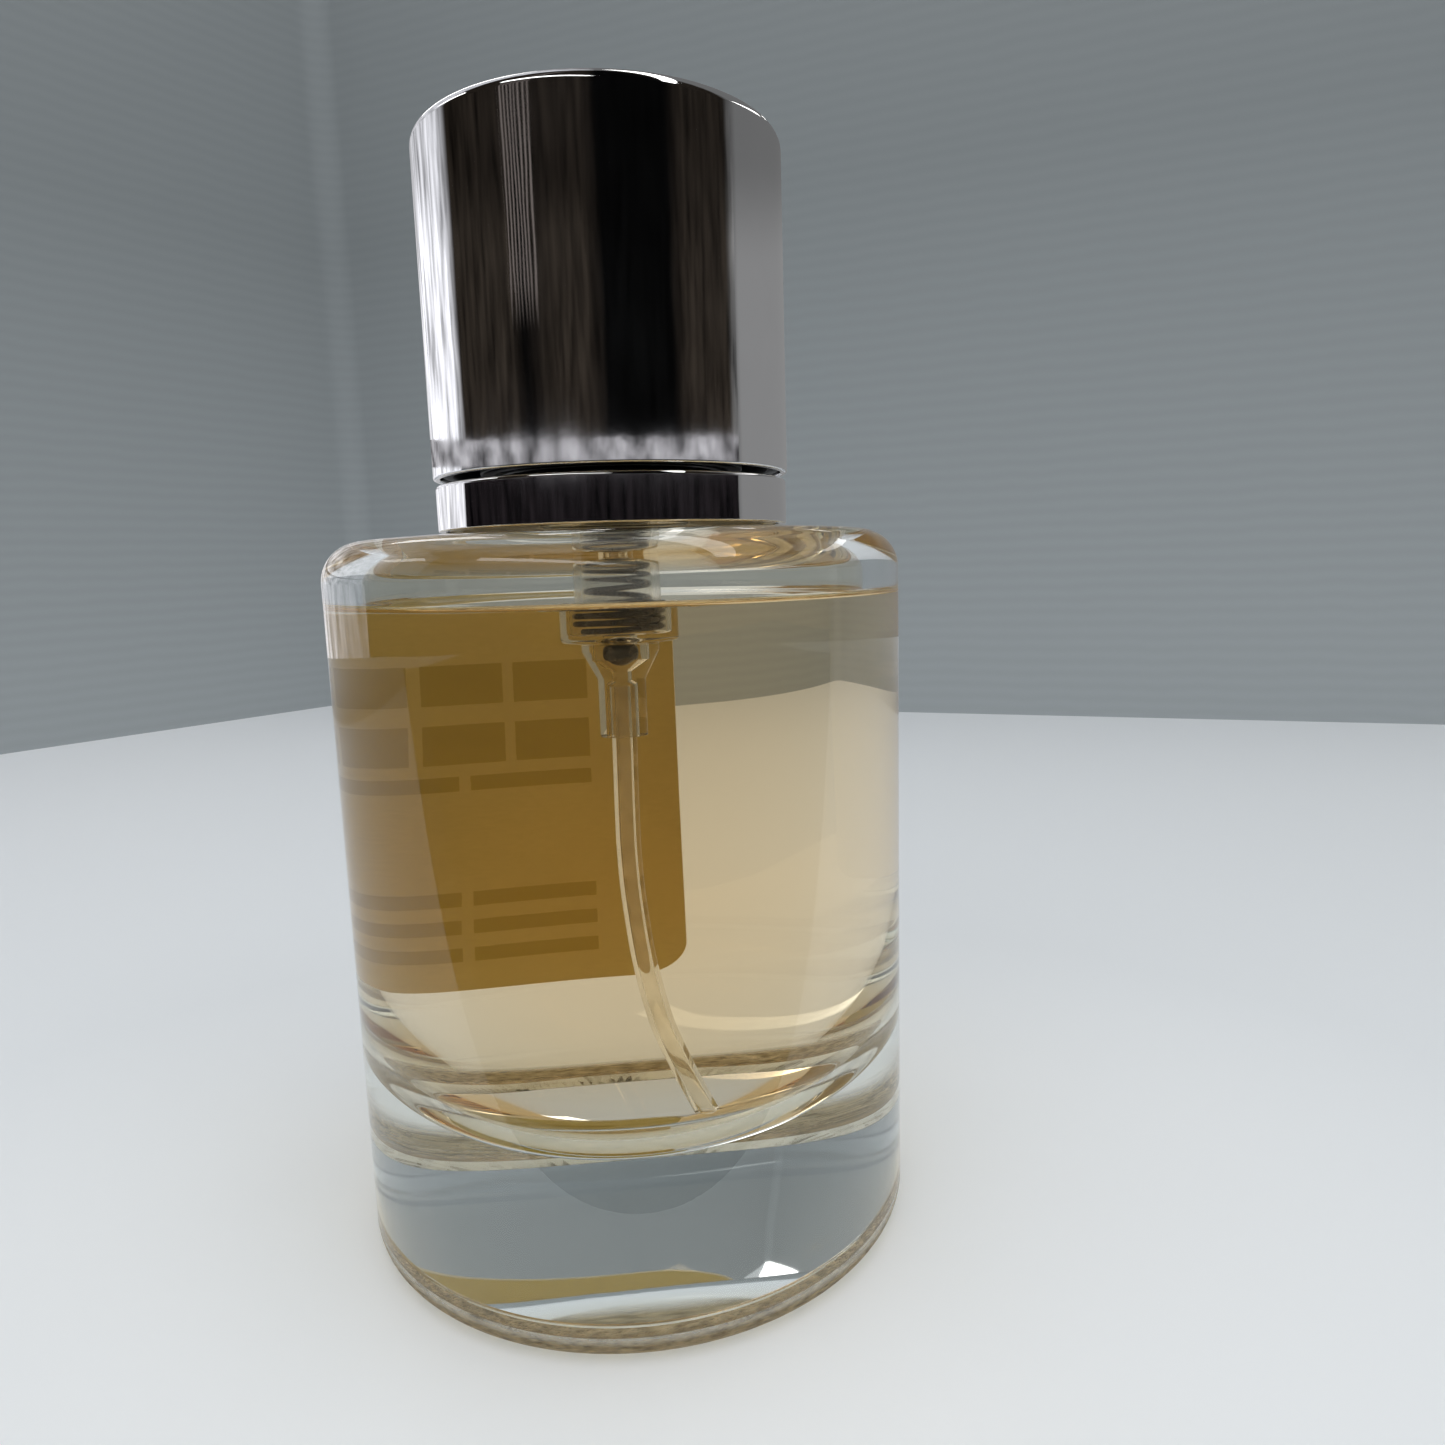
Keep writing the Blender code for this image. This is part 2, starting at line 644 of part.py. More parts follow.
def cap_shell(parent):
    inner_r = CAP_R - CAP_WALL
    place(turned("cap_shell", CHROME, [
        (0.0, CAP_TOP),
        (CAP_R, CAP_TOP, CAP_EDGE_R),
        (CAP_R, CAP_BOTTOM),
        (inner_r, CAP_BOTTOM),
        (inner_r, CAP_TOP - CAP_WALL),
        (0.0, CAP_TOP - CAP_WALL),
    ], closed=False), parent)


def cap_liner(parent):
    """Moulded cup that lines the cap."""
    top = CAP_TOP - CAP_WALL - 0.3
    skirt_r = CAP_R - CAP_WALL - 0.15
    bottom = CAP_BOTTOM + 0.3
    place(turned("cap_liner", DARK_PLASTIC, [
        (0.0, top),
        (skirt_r, top, 0.8),
        (skirt_r, bottom),
        (skirt_r - LINER_WALL, bottom),
        (skirt_r - LINER_WALL, CAP_CEILING),
        (0.0, CAP_CEILING),
    ], closed=False), parent)


def cap_sleeve(parent):
    """Tube that hangs inside the lining cup, grips the collar and stops on its top with a ledge."""
    grip_r = COLLAR_SLEEVE_R + 0.3
    outer_r = grip_r + 1.2
    ledge_r = grip_r - 1.0
    ledge = COLLAR_TOP + 0.3
    top = CAP_CEILING - SEAT
    bottom = CAP_BOTTOM + 0.4
    place(turned("cap_sleeve", DARK_PLASTIC, [
        (grip_r, top),
        (outer_r, top),
        (outer_r, bottom),
        (grip_r, bottom),
        (grip_r, ledge),
        (ledge_r, ledge),
        (ledge_r, ledge + 1.4),
        (grip_r, ledge + 2.4),
    ]), parent)


# ---------------------------------------------------------------- assembly
def joint_empty(name, height):
    """An empty on a joint's axis, which carries the pieces that move together."""
    empty = bpy.data.objects.new(name, None)
    PARTS.objects.link(empty)
    empty.location.z = height * MM
    return empty


def build_bottle():
    glass_bottle()
    perfume()
    front_label()
    ring("neck_gasket", RUBBER, 7.3, 4.4, NECK_TOP + SEAT, GASKET_THICKNESS)
    crimp_ferrule()
    turret()
    ring("stem_gasket", RUBBER, SPIGOT_R, STEM_R + 0.1, HOUSING_TOP + 0.15, STEM_GASKET_THICKNESS,
         PUMP_STEPS)
    pump_housing()
    check_ball()
    dip_tube()
    collar_shell()
    collar_liner()


def build_moving_pieces():
    stroke = joint_empty("pump_stroke", STEM_SHOULDER_TOP)
    stem(stroke)
    valve_rod(stroke)
    spring("return_spring", 2.55, SPRING_WIRE_R, HOUSING_FLOOR + SEAT, ROD_FLANGE_BOTTOM - SEAT,
           1.5, 4.5, stroke)
    spring("valve_spring", 2.1, VALVE_SPRING_WIRE_R, PISTON_TOP + SEAT,
           STEM_SHOULDER_TOP - 0.8 - SEAT, 1.0, 2.5, stroke)
    piston(joint_empty("valve_slide", PISTON_TOP))
    turn = joint_empty("button_turn", BUTTON_BOTTOM)
    button_core(turn)
    button_sleeve(turn)
    nozzle_insert(turn)
    lift = joint_empty("cap_lift", CAP_BOTTOM)
    cap_shell(lift)
    cap_liner(lift)
    cap_sleeve(lift)


for old in list(bpy.data.objects):
    bpy.data.objects.remove(old)

PARTS = new_collection("perfume_bottle")
CUTTERS = new_collection("cutters")
GLASS = material("clear_glass", (0.86, 0.90, 0.89), 0.02, transmission=1.0, ior=1.52)
LIQUID = material("pale_gold_liquid", (0.93, 0.80, 0.52), 0.0, transmission=1.0, ior=1.36)
PAPER = material("tan_label", (0.55, 0.40, 0.18), 0.5)
CHROME = material("chrome", (0.80, 0.80, 0.82), 0.08, metallic=1.0)
ALUMINIUM = material("aluminium", (0.75, 0.75, 0.76), 0.3, metallic=1.0)
STEEL = material("spring_steel", (0.45, 0.44, 0.42), 0.25, metallic=1.0)
CLEAR_PLASTIC = material("translucent_plastic", (0.85, 0.83, 0.78), 0.25, transmission=0.7, ior=1.5)
WHITE_PLASTIC = material("white_plastic", (0.85, 0.85, 0.83), 0.35)
DARK_PLASTIC = material("dark_plastic", (0.02, 0.02, 0.022), 0.4)
RUBBER = material("gasket_rubber", (0.05, 0.05, 0.05), 0.6)
build_bottle()
build_moving_pieces()
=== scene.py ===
"""Looks of a round perfume bottle with a spray pump and a mirror-bright cap.

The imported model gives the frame, in metres with +Z up and the label towards -Y. Sizes below are
in millimetres. A turned piece is a profile of (radius, height, corner radius) points, turned
about Z.
"""
from math import ceil, cos, exp, pi, radians, sin, sqrt, tan

import bmesh
import bpy
from mathutils import Matrix, Vector


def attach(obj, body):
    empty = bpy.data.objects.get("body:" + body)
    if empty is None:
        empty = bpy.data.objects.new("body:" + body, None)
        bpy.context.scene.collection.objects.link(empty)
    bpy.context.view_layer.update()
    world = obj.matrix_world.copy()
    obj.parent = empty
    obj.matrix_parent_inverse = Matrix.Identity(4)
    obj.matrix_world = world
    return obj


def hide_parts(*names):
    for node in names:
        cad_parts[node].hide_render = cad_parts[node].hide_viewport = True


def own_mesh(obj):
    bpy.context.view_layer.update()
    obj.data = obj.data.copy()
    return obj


MM = 0.001
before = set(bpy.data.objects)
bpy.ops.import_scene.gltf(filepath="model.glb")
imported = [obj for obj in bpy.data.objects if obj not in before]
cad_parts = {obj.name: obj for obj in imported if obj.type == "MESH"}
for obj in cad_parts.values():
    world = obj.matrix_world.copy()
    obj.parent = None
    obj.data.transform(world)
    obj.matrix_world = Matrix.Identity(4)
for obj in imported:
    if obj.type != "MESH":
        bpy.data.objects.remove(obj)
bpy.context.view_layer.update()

# ---------------------------------------------------------------- sizes shared with the model
BODY_R = 25.0
SHOULDER_Z = 62.4
SHOULDER_FALL = 0.65
SHOULDER_EDGE_R = 3.4
HEEL_R = 2.2
FOOT_R = 19.6
PUSH_UP = 0.9
CAVITY_R = 22.0
CAVITY_FLOOR = 11.25
CAVITY_BOWL_R = 15.0
CAVITY_TOP = 60.9
CAVITY_TOP_EDGE_R = 1.2
THROAT_R = 8.0
THROAT_Z = 61.1
THROAT_BEND_R = 2.0
THROAT_TOP = 63.6
NECK_BORE_R = 4.7
NECK_R = 6.45
BEAD_R = 7.5
BEAD_BOTTOM = 68.2
NECK_TOP = 71.8
FILL_LEVEL = 56.45
CLIMB = 0.45                # of the liquid up the glass at its edge
LABEL_WIDTH = 38.0
LABEL_BOTTOM = 16.1
LABEL_TOP = 55.5
LABEL_CORNER = 3.5
LABEL_OUTER_R = 25.2
FLANGE_BOTTOM = 72.7
FLANGE_TOP = 73.5
PLATE_TOP = 74.1
FERRULE_R = 8.3
FERRULE_WALL = 0.35
BOSS_R = 5.2
BOSS_TOP = 77.1
BOSS_HOLE_R = 2.3
HOUSING_R = 3.95
HOUSING_BORE_R = 3.2
HOUSING_TOP = 75.0
HOUSING_BOTTOM = 53.1
HOUSING_FLOOR = 53.7
SPIGOT_R = 3.9
SOCKET_R = 1.6
SOCKET_BOTTOM = 45.0
BALL_R = 1.2
BALL_Z = 52.15
FLOW_R = 0.6
STEM_R = 1.5
STEM_TOP = 84.5
STEM_FOOT = 66.4
ROD_R = 0.85
TUBE_R = 0.85
TUBE_WALL = 0.35
TUBE_AZIMUTH = radians(10)
TUBE_ROUTE = [(0.0, 49.3), (0.0, 44.5), (-0.1, 38.0), (0.0, 34.0), (0.5, 30.0), (1.8, 24.8),
              (4.2, 19.9), (7.4, 16.1), (10.0, 13.7), (11.6, 12.4)]
TUBE_CUT = (10.9, 12.95)
TUBE_CUT_SLOPE = (0.25, -1.0)
BUTTON_R = 6.95
BUTTON_BOTTOM = 78.9
BUTTON_TOP = 90.0
NOZZLE_Z = 86.6
NOZZLE_R = 1.8
COLLAR_R = 15.3
COLLAR_WALL = 0.6
COLLAR_BOTTOM = 62.65
COLLAR_STEP = 66.5
COLLAR_SLEEVE_R = 10.0
COLLAR_TOP = 76.6
COLLAR_MOUTH_R = 7.4
CAP_R = 15.45
CAP_WALL = 0.6
CAP_BOTTOM = 67.0
CAP_TOP = 94.2
CAP_EDGE_R = 0.9
CAP_CEILING = 92.1

# ---------------------------------------------------------------- finish of the meshes
FINE_STEPS = 224            # round the glass, the liquid, the collar and the cap
SMALL_STEPS = 96            # round the pump and the button
ARC_STEP = radians(7)       # across a rounded profile corner
CONTACT = 0.03              # how far liquid and label reach into the glass, so no air shows
GLASS_IOR = 1.52
LIQUID_IOR = 1.36


# ---------------------------------------------------------------- mesh helpers
def to_mesh(name, body):
    bmesh.ops.recalc_face_normals(body, faces=body.faces[:])
    mesh = bpy.data.meshes.new(name)
    body.to_mesh(mesh)
    body.free()
    return mesh


def add(name, mesh, surface, body, slot, *replaced):
    """Add a piece that rides on a body, has the given surface and stands for CAD nodes. The slot argument
    is not used.
    """
    mesh.shade_smooth()
    mesh.set_sharp_from_angle(angle=radians(32))
    mesh = evaluated(mesh, weigh_normals)
    mesh.name = name
    for item in surface if isinstance(surface, (list, tuple)) else [surface]:
        mesh.materials.append(item)
    piece = bpy.data.objects.new(name, mesh)
    bpy.context.scene.collection.objects.link(piece)
    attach(piece, body)
    if replaced:
        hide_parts(*replaced)
    return piece


def evaluated(data, set_up=None):
    """The mesh that a curve, or a mesh with the modifiers that set_up adds, evaluates to."""
    obj = bpy.data.objects.new("working", data)
    bpy.context.scene.collection.objects.link(obj)
    if set_up:
        set_up(obj)
    bpy.context.view_layer.update()
    graph = bpy.context.evaluated_depsgraph_get()
    mesh = bpy.data.meshes.new_from_object(obj.evaluated_get(graph))
    bpy.data.objects.remove(obj)
    return mesh


def weigh_normals(obj):
    """Keep long flat faces flat in reflections, right up to the rounded edges beside them."""
    weighted = obj.modifiers.new("flats", "WEIGHTED_NORMAL")
    weighted.keep_sharp = True


def rounded(points, closed):
    """The outline through (radius, height, corner radius) points, with its corners rounded."""
    outline = []
    for i, point in enumerate(points):
        here = Vector(point[:2])
        at_end = not closed and i in (0, len(points) - 1)
        if len(point) < 3 or at_end:
            outline.append(here)
            continue
        corner_r = point[2]
        to_last = (Vector(points[i - 1][:2]) - here).normalized()
        to_next = (Vector(points[(i + 1) % len(points)][:2]) - here).normalized()
        half = to_last.angle(to_next) / 2
        centre = here + (to_last + to_next).normalized() * (corner_r / sin(half))
        start = here + to_last * (corner_r / tan(half)) - centre
        end = here + to_next * (corner_r / tan(half)) - centre
        sweep = start.angle_signed(end)
        count = max(2, ceil(abs(sweep) / ARC_STEP))
        for step in range(count + 1):
            outline.append(centre + Matrix.Rotation(-sweep * step / count, 2) @ start)
    return outline


def turned(name, points, steps=FINE_STEPS, closed=True, shape=None):
    """Turn a profile about Z. shape(radius, angle, height) may change each point's radius."""
    outline = rounded(points, closed)
    body = bmesh.new()
    rings = []
    for r, z in outline:
        if r < 0.0001:
            rings.append([body.verts.new((0.0, 0.0, z * MM))])
            continue
        ring = []
        for k in range(steps):
            angle = 2 * pi * k / steps
            reach = (shape(r, angle, z) if shape else r) * MM
            ring.append(body.verts.new((reach * cos(angle), reach * sin(angle), z * MM)))
        rings.append(ring)
    following = rings[1:] + rings[:1] if closed else rings[1:]
    for one, other in zip(rings, following):
        for k in range(steps):
            corners = [one[k % len(one)], one[(k + 1) % len(one)],
                       other[(k + 1) % len(other)], other[k % len(other)]]
            unique = list(dict.fromkeys(corners))
            if len(unique) > 2:
                body.faces.new(unique)
    return to_mesh(name, body)


def swept(name, points, radius, caps=True, sides=6):
    """A round wire or tube of the given radius along points."""
    curve = bpy.data.curves.new(name, "CURVE")
    curve.dimensions = "3D"
    curve.bevel_depth = radius * MM
    curve.bevel_resolution = sides
    curve.use_fill_caps = caps
    spline = curve.splines.new("POLY")
    spline.points.add(len(points) - 1)
    for target, point in zip(spline.points, points):
        target.co = (*[c * MM for c in point], 1.0)
    mesh = evaluated(curve)
    body = bmesh.new()
    body.from_mesh(mesh)
    bmesh.ops.remove_doubles(body, verts=body.verts, dist=0.0000005)
    return to_mesh(name, body)


def smooth_route(route, pieces):
    """Points along a smooth curve through the given ones (Catmull-Rom)."""
    points = [route[0] * 2 - route[1], *route, route[-1] * 2 - route[-2]]
    result = []
    for a, b, c, d in zip(points, points[1:], points[2:], points[3:]):
        for t in (k / pieces for k in range(pieces)):
            result.append((2 * b + (c - a) * t + (2 * a - 5 * b + 4 * c - d) * t ** 2
                           + (3 * b - a - 3 * c + d) * t ** 3) / 2)
    return result + [route[-1]]


# ---------------------------------------------------------------- shader helpers
def srgb(red, green, blue):
    """A colour from 0 to 255, as it looks on a screen, in the renderer's linear values."""
    linear = []
    for value in (red, green, blue):
        value /= 255
        linear.append(value / 12.92 if value <= 0.04045 else ((value + 0.055) / 1.055) ** 2.4)
    return (*linear, 1.0)


class Shader:
    """A node tree that is put together in short calls."""

    def __init__(self, owner):
        owner.use_nodes = True
        self.tree = owner.node_tree
        self.tree.nodes.clear()

    def node(self, kind, *, out=0, settings=(), **inputs):
        """Add a node; inputs are sockets or values by name, with _ for a space in the name."""
        made = self.tree.nodes.new(kind)
        for key, value in dict(settings).items():
            setattr(made, key, value)
        for key, value in inputs.items():
            target = made.inputs[int(key[1:])] if key[1:].isdigit() else made.inputs[key.replace("_", " ")]
            if isinstance(value, bpy.types.NodeSocket):
                self.tree.links.new(value, target)
            else:
                target.default_value = value
        return made.outputs[out]

    def math(self, operation, *values, clamp=False):
        made = self.tree.nodes.new("ShaderNodeMath")
        made.operation = operation
        made.use_clamp = clamp
        for target, value in zip(made.inputs, values):
            if isinstance(value, bpy.types.NodeSocket):
                self.tree.links.new(value, target)
            else:
                target.default_value = value
        return made.outputs[0]

    def split(self, vector):
        """The three parts of a vector."""
        made = self.tree.nodes.new("ShaderNodeSeparateXYZ")
        self.tree.links.new(vector, made.inputs[0])
        return made.outputs

    def place(self):
        """Where a point is, in metres."""
        return self.node("ShaderNodeTexCoord", out=3)

    def stretched(self, x, y, z):
        return self.node("ShaderNodeVectorMath", settings={"operation": "MULTIPLY"},
                         _0=self.place(), _1=(x, y, z))

    def noise(self, scale, detail=2.0, vector=None, **more):
        return self.node("ShaderNodeTexNoise", Vector=vector or self.place(), Scale=scale,
                         Detail=detail, **more)

    def between(self, factor, low, high):
        """Run from low to high as factor goes from 0.3 to 0.7, which is where noise lies."""
        return self.node("ShaderNodeMapRange", Value=factor, From_Min=0.3, From_Max=0.7,
                         To_Min=low, To_Max=high)

    def tint(self, factor, one, other):
        made = self.tree.nodes.new("ShaderNodeMix")
        made.data_type = "RGBA"
        for target, value in ((made.inputs[0], factor), (made.inputs[6], one), (made.inputs[7], other)):
            if isinstance(value, bpy.types.NodeSocket):
                self.tree.links.new(value, target)
            else:
                target.default_value = value
        return made.outputs[2]

    def bump(self, height, distance, strength=1.0):
        return self.node("ShaderNodeBump", Height=height, Distance=distance, Strength=strength)

    def mixed(self, factor, one, other):
        return self.node("ShaderNodeMixShader", Fac=factor, _1=one, _2=other)

    def lit_through(self, shader, tint):
        """Let light from the lamps pass through, as it does through clear things."""
        shadow = self.node("ShaderNodeLightPath", out=1)
        return self.mixed(shadow, shader, self.node("ShaderNodeBsdfTransparent", Color=tint))

    def finish(self, surface, volume=None):
        output = self.tree.nodes.new("ShaderNodeOutputMaterial")
        self.tree.links.new(surface, output.inputs["Surface"])
        if volume:
            self.tree.links.new(volume, output.inputs["Volume"])


def new_material(name):
    result = bpy.data.materials.new(name)
    return result, Shader(result)


# ---------------------------------------------------------------- materials
def clear(s, colour, ior, normal=None, roughness=0.0):
    """A clear surface of the given colour and refractive index."""
    made = {"Normal": normal} if normal else {}
    return s.node("ShaderNodeBsdfPrincipled", Base_Color=colour, Roughness=roughness, IOR=ior,
                  Transmission_Weight=1.0, **made)


def stippled_ring_painted_glow(s):
    """The grainy ring that the bottle stands on, with a painted golden glow that stands in for light from
    the liquid.
    """
    grains = s.noise(1800.0, 3.0, s.stretched(0.6, 0.6, 2.0))
    stipple = s.bump(grains, 0.0003, 0.9)
    # Painted glow: the gold, in the glass and its translucent layer, stands in for light from the liquid
    # above
    gold = s.tint(s.between(grains, 0.0, 1.0), (0.10, 0.060, 0.016, 1.0), (0.52, 0.37, 0.17, 1.0))
    return s.mixed(0.40, clear(s, gold, GLASS_IOR, stipple, 0.30),
                   s.node("ShaderNodeBsdfTranslucent", Color=gold, Normal=stipple))


def clear_glass():
    """Pressed glass: faintly grey-green, with the long soft waves of a moulded surface."""
    result, s = new_material("clear_glass")
    x, y, z = s.split(s.place())
    across = s.math("SQRT", s.math("ADD", s.math("POWER", x, 2.0), s.math("POWER", y, 2.0)))

    def inside(radius, low, high):
        """1 nearer to the axis than radius and between two heights, in millimetres."""
        between = s.math("COMPARE", z, (low + high) / 2 * MM, (high - low) / 2 * MM)
        return s.math("MULTIPLY", s.math("LESS_THAN", across, radius * MM), between)

    wet_top = FILL_LEVEL + CLIMB
    waves = s.bump(s.noise(90.0, 1.0, s.stretched(1.0, 1.0, 0.45)), 0.00004, 0.5)
    # Above the liquid the inside of the glass is tinted amber, up to the throat
    amber_above_liquid = inside(CAVITY_R + 0.2, FILL_LEVEL, THROAT_TOP)
    colour = s.tint(amber_above_liquid, (0.985, 0.992, 0.990, 1.0), (1.0, 0.94, 0.80, 1.0))
    # Where the liquid wets the glass, the face bends light by the ratio of the two indices
    wetted = inside(CAVITY_R + 0.2, CAVITY_FLOOR - 0.1, wet_top + 0.1)
    glass = s.mixed(wetted, clear(s, colour, GLASS_IOR, waves),
                    clear(s, colour, GLASS_IOR / LIQUID_IOR, waves))
    ring_inner_r = FOOT_R - 0.6
    fade = s.node("ShaderNodeMapRange", Value=z, From_Min=1.6 * MM, From_Max=3.0 * MM,
                  To_Min=1.0, To_Max=0.0)
    standing = s.math("MULTIPLY", s.math("GREATER_THAN", across, ring_inner_r * MM), fade)
    # The ring the bottle stands on: real stipple, with the painted golden glow
    glass = s.mixed(standing, glass, stippled_ring_painted_glow(s))
    # The recess inside that ring is less even than the polished outside
    ripples = s.bump(s.noise(60.0, 1.0), 0.0001, 0.5)
    glass = s.mixed(inside(ring_inner_r, -0.1, PUSH_UP + 0.1), glass,
                    clear(s, (0.93, 0.92, 0.87, 1.0), GLASS_IOR, ripples, 0.02))
    depth = s.node("ShaderNodeVolumeAbsorption", Color=(0.55, 0.80, 0.72, 1.0), Density=3.0)
    s.finish(s.lit_through(glass, (0.90, 0.92, 0.91, 1.0)), depth)
    return result


def pale_gold_liquid():
    """The liquid: only its top, which meets air, bends light, because the wetted glass does too."""
    result, s = new_material("pale_gold_liquid")
    z = s.split(s.place())[2]
    white = (1.0, 1.0, 1.0, 1.0)
    surface = s.mixed(s.math("GREATER_THAN", z, (FILL_LEVEL - 0.01) * MM),
                      clear(s, white, 1.0), clear(s, white, LIQUID_IOR))
    depth = s.node("ShaderNodeVolumeAbsorption", Color=(0.975, 0.643, 0.035, 1.0), Density=18.5)
    s.finish(s.lit_through(surface, (0.98, 0.98, 0.98, 1.0)), depth)
    return result


def chrome(name, tone=(0.86, 0.865, 0.88)):
    """Vacuum-plated mirror with a little orange peel, and the haze of a handled surface."""
    result, s = new_material(name)
    peel = s.noise(420.0, 2.0)
    sag = s.noise(60.0, 1.0, s.stretched(1.0, 1.0, 0.35))
    height = s.math("ADD", s.math("MULTIPLY", peel, 0.10), sag)
    haze = s.noise(150.0, 4.0)
    shade = s.tint(s.between(haze, 0.0, 1.0), (*[c * 0.96 for c in tone], 1.0), (*tone, 1.0))
    surface = s.node("ShaderNodeBsdfPrincipled", Base_Color=shade, Metallic=1.0,
                     Roughness=s.between(haze, 0.03, 0.065), Normal=s.bump(height, 0.00006, 0.4))
    s.finish(surface)
    return result


def brushed_aluminium():
    result, s = new_material("ferrule_aluminium")
    lines = s.noise(300.0, 3.0, s.stretched(0.6, 0.6, 14.0))
    shade = s.tint(s.between(lines, 0.0, 1.0), (0.60, 0.60, 0.61, 1.0), (0.80, 0.80, 0.80, 1.0))
    surface = s.node("ShaderNodeBsdfPrincipled", Base_Color=shade, Metallic=1.0,
                     Roughness=s.between(lines, 0.22, 0.38), Normal=s.bump(lines, 0.00001, 0.4))
    s.finish(surface)
    return result


def spring_steel():
    result, s = new_material("spring_steel")
    drawn = s.noise(900.0, 3.0)
    shade = s.tint(s.between(drawn, 0.0, 1.0), (0.03, 0.027, 0.022, 1.0), (0.09, 0.08, 0.07, 1.0))
    surface = s.node("ShaderNodeBsdfPrincipled", Base_Color=shade, Metallic=1.0,
                     Roughness=s.between(drawn, 0.18, 0.34))
    s.finish(surface)
    return result


def moulded(name, dark, light, roughness, grain=700.0, sheen_of_grain=0.00002):
    """Moulded plastic or rubber: a faint mottle and a fine eroded grain."""
    result, s = new_material(name)
    fine = s.noise(grain * 4, 2.0)
    mottle = s.noise(grain / 4, 3.0)
    shade = s.tint(s.between(mottle, 0.0, 1.0), (*dark, 1.0), (*light, 1.0))
    surface = s.node("ShaderNodeBsdfPrincipled", Base_Color=shade,
                     Roughness=s.between(mottle, roughness - 0.05, roughness + 0.05),
                     Normal=s.bump(fine, sheen_of_grain, 0.3))
    s.finish(surface)
    return result


def milky_plastic(name, ior, clearness, roughness):
    """Natural polyethylene: it lets light through but blurs what is behind it."""
    result, s = new_material(name)
    cloud = s.noise(500.0, 3.0)
    shade = s.tint(s.between(cloud, 0.0, 1.0), (0.86, 0.83, 0.76, 1.0), (0.97, 0.95, 0.90, 1.0))
    surface = s.node("ShaderNodeBsdfPrincipled", Base_Color=shade, IOR=ior,
                     Roughness=s.between(cloud, roughness * 0.8, roughness * 1.2),
                     Transmission_Weight=clearness)
    s.finish(s.lit_through(surface, (0.80, 0.78, 0.72, 1.0)))
    return result


# ---------------------------------------------------------------- label print
# Generic blocks that stand for lines of print: left end and middle height from the label's
# corner, height of a block, and the widths of the blocks in it.
PRINT_ROWS = [
    (6.0, 32.0, 4.0, (5.0, 5.0, 5.0, 5.0)),
    (6.0, 26.0, 4.0, (5.0, 5.0, 5.0, 5.0)),
    (6.0, 22.0, 1.5, (8.0, 8.0)),
    (6.0, 10.0, 1.5, (8.0, 4.0)),
    (6.0, 7.0, 1.5, (8.0, 4.0)),
    (6.0, 4.0, 1.5, (8.0, 4.0)),
]
BLOCK_GAP = 0.7


def print_mask(s):
    """1 on the printed blocks and 0 on the bare label."""
    x, y, z = s.split(s.place())
    turn = s.math("ARCTAN2", x, s.math("MULTIPLY", y, -1.0))
    along = s.math("MULTIPLY_ADD", turn, BODY_R, LABEL_WIDTH / 2)
    height = s.math("MULTIPLY_ADD", z, 1 / MM, -LABEL_BOTTOM)
    ragged = s.math("MULTIPLY", s.math("SUBTRACT", s.noise(2500.0, 1.0), 0.5), 0.10)
    mask = None
    for left, middle, tall, widths in PRINT_ROWS:
        rows = s.math("COMPARE", s.math("ADD", height, ragged), middle, tall / 2)
        blocks = None
        for width in widths:
            block = s.math("COMPARE", s.math("ADD", along, ragged), left + width / 2, width / 2)
            blocks = block if blocks is None else s.math("MAXIMUM", blocks, block)
            left += width + BLOCK_GAP
        row = s.math("MULTIPLY", rows, blocks)
        mask = row if mask is None else s.math("MAXIMUM", mask, row)
    return mask


def label_paper(name, bare, printed, through, gloss):
    """Thin uncoated paper; through is how much light from behind it comes out on this side."""
    result, s = new_material(name)
    fibres = s.noise(1800.0, 5.0, s.stretched(1.0, 1.0, 2.2))
    cloud = s.noise(180.0, 3.0)
    paper = s.tint(s.between(fibres, 0.0, 1.0), (*[c * 0.93 for c in bare[:3]], 1.0), bare)
    paper = s.tint(s.between(cloud, 0.0, 0.35), paper, (*[c * 0.9 for c in bare[:3]], 1.0))
    shade = s.tint(print_mask(s), paper, printed)
    front = s.node("ShaderNodeBsdfPrincipled", Base_Color=shade,
                   Roughness=s.between(fibres, 0.5, 0.62), Normal=s.bump(fibres, 0.00002, 0.35),
                   Specular_IOR_Level=gloss)
    glow = s.node("ShaderNodeBsdfTranslucent", Color=shade)
    s.finish(s.lit_through(s.mixed(through, front, glow), (0.0, 0.0, 0.0, 1.0)))
    return result


GLASS = clear_glass()
LIQUID = pale_gold_liquid()
CAP_CHROME = chrome("cap_chrome")
COLLAR_CHROME = chrome("collar_chrome", (0.80, 0.80, 0.81))
ALUMINIUM = brushed_aluminium()
STEEL = spring_steel()
WHITE_PLASTIC = moulded("white_plastic", (0.74, 0.73, 0.70), (0.84, 0.83, 0.80), 0.38)
DARK_PLASTIC = moulded("dark_plastic", (0.010, 0.010, 0.011), (0.022, 0.022, 0.024), 0.42)
RUBBER = moulded("gasket_rubber", (0.020, 0.020, 0.020), (0.040, 0.040, 0.038), 0.62, 500.0, 0.00004)
MILKY_WET = milky_plastic("milky_plastic_wet", 1.10, 0.97, 0.04)
MILKY_DRY = milky_plastic("milky_plastic_dry", 1.50, 0.95, 0.08)
TUBE_PLASTIC = milky_plastic("tube_plastic", 1.10, 0.94, 0.04)
LABEL_FRONT = label_paper("label_front", srgb(232, 214, 176), srgb(96, 62, 30), 0.15, 0.4)
LABEL_BACK = label_paper("label_back", srgb(237, 218, 150), srgb(209, 188, 110), 0.20, 0.0)


# ---------------------------------------------------------------- glass, liquid and label
def glass_wave(angle, height):
    """The slight unevenness of the inside of a moulded bottle."""
    return (0.05 * sin(2 * angle + 0.6) + 0.03 * sin(3 * angle + height / 11.0)
            + 0.02 * sin(5 * angle - height / 7.0))


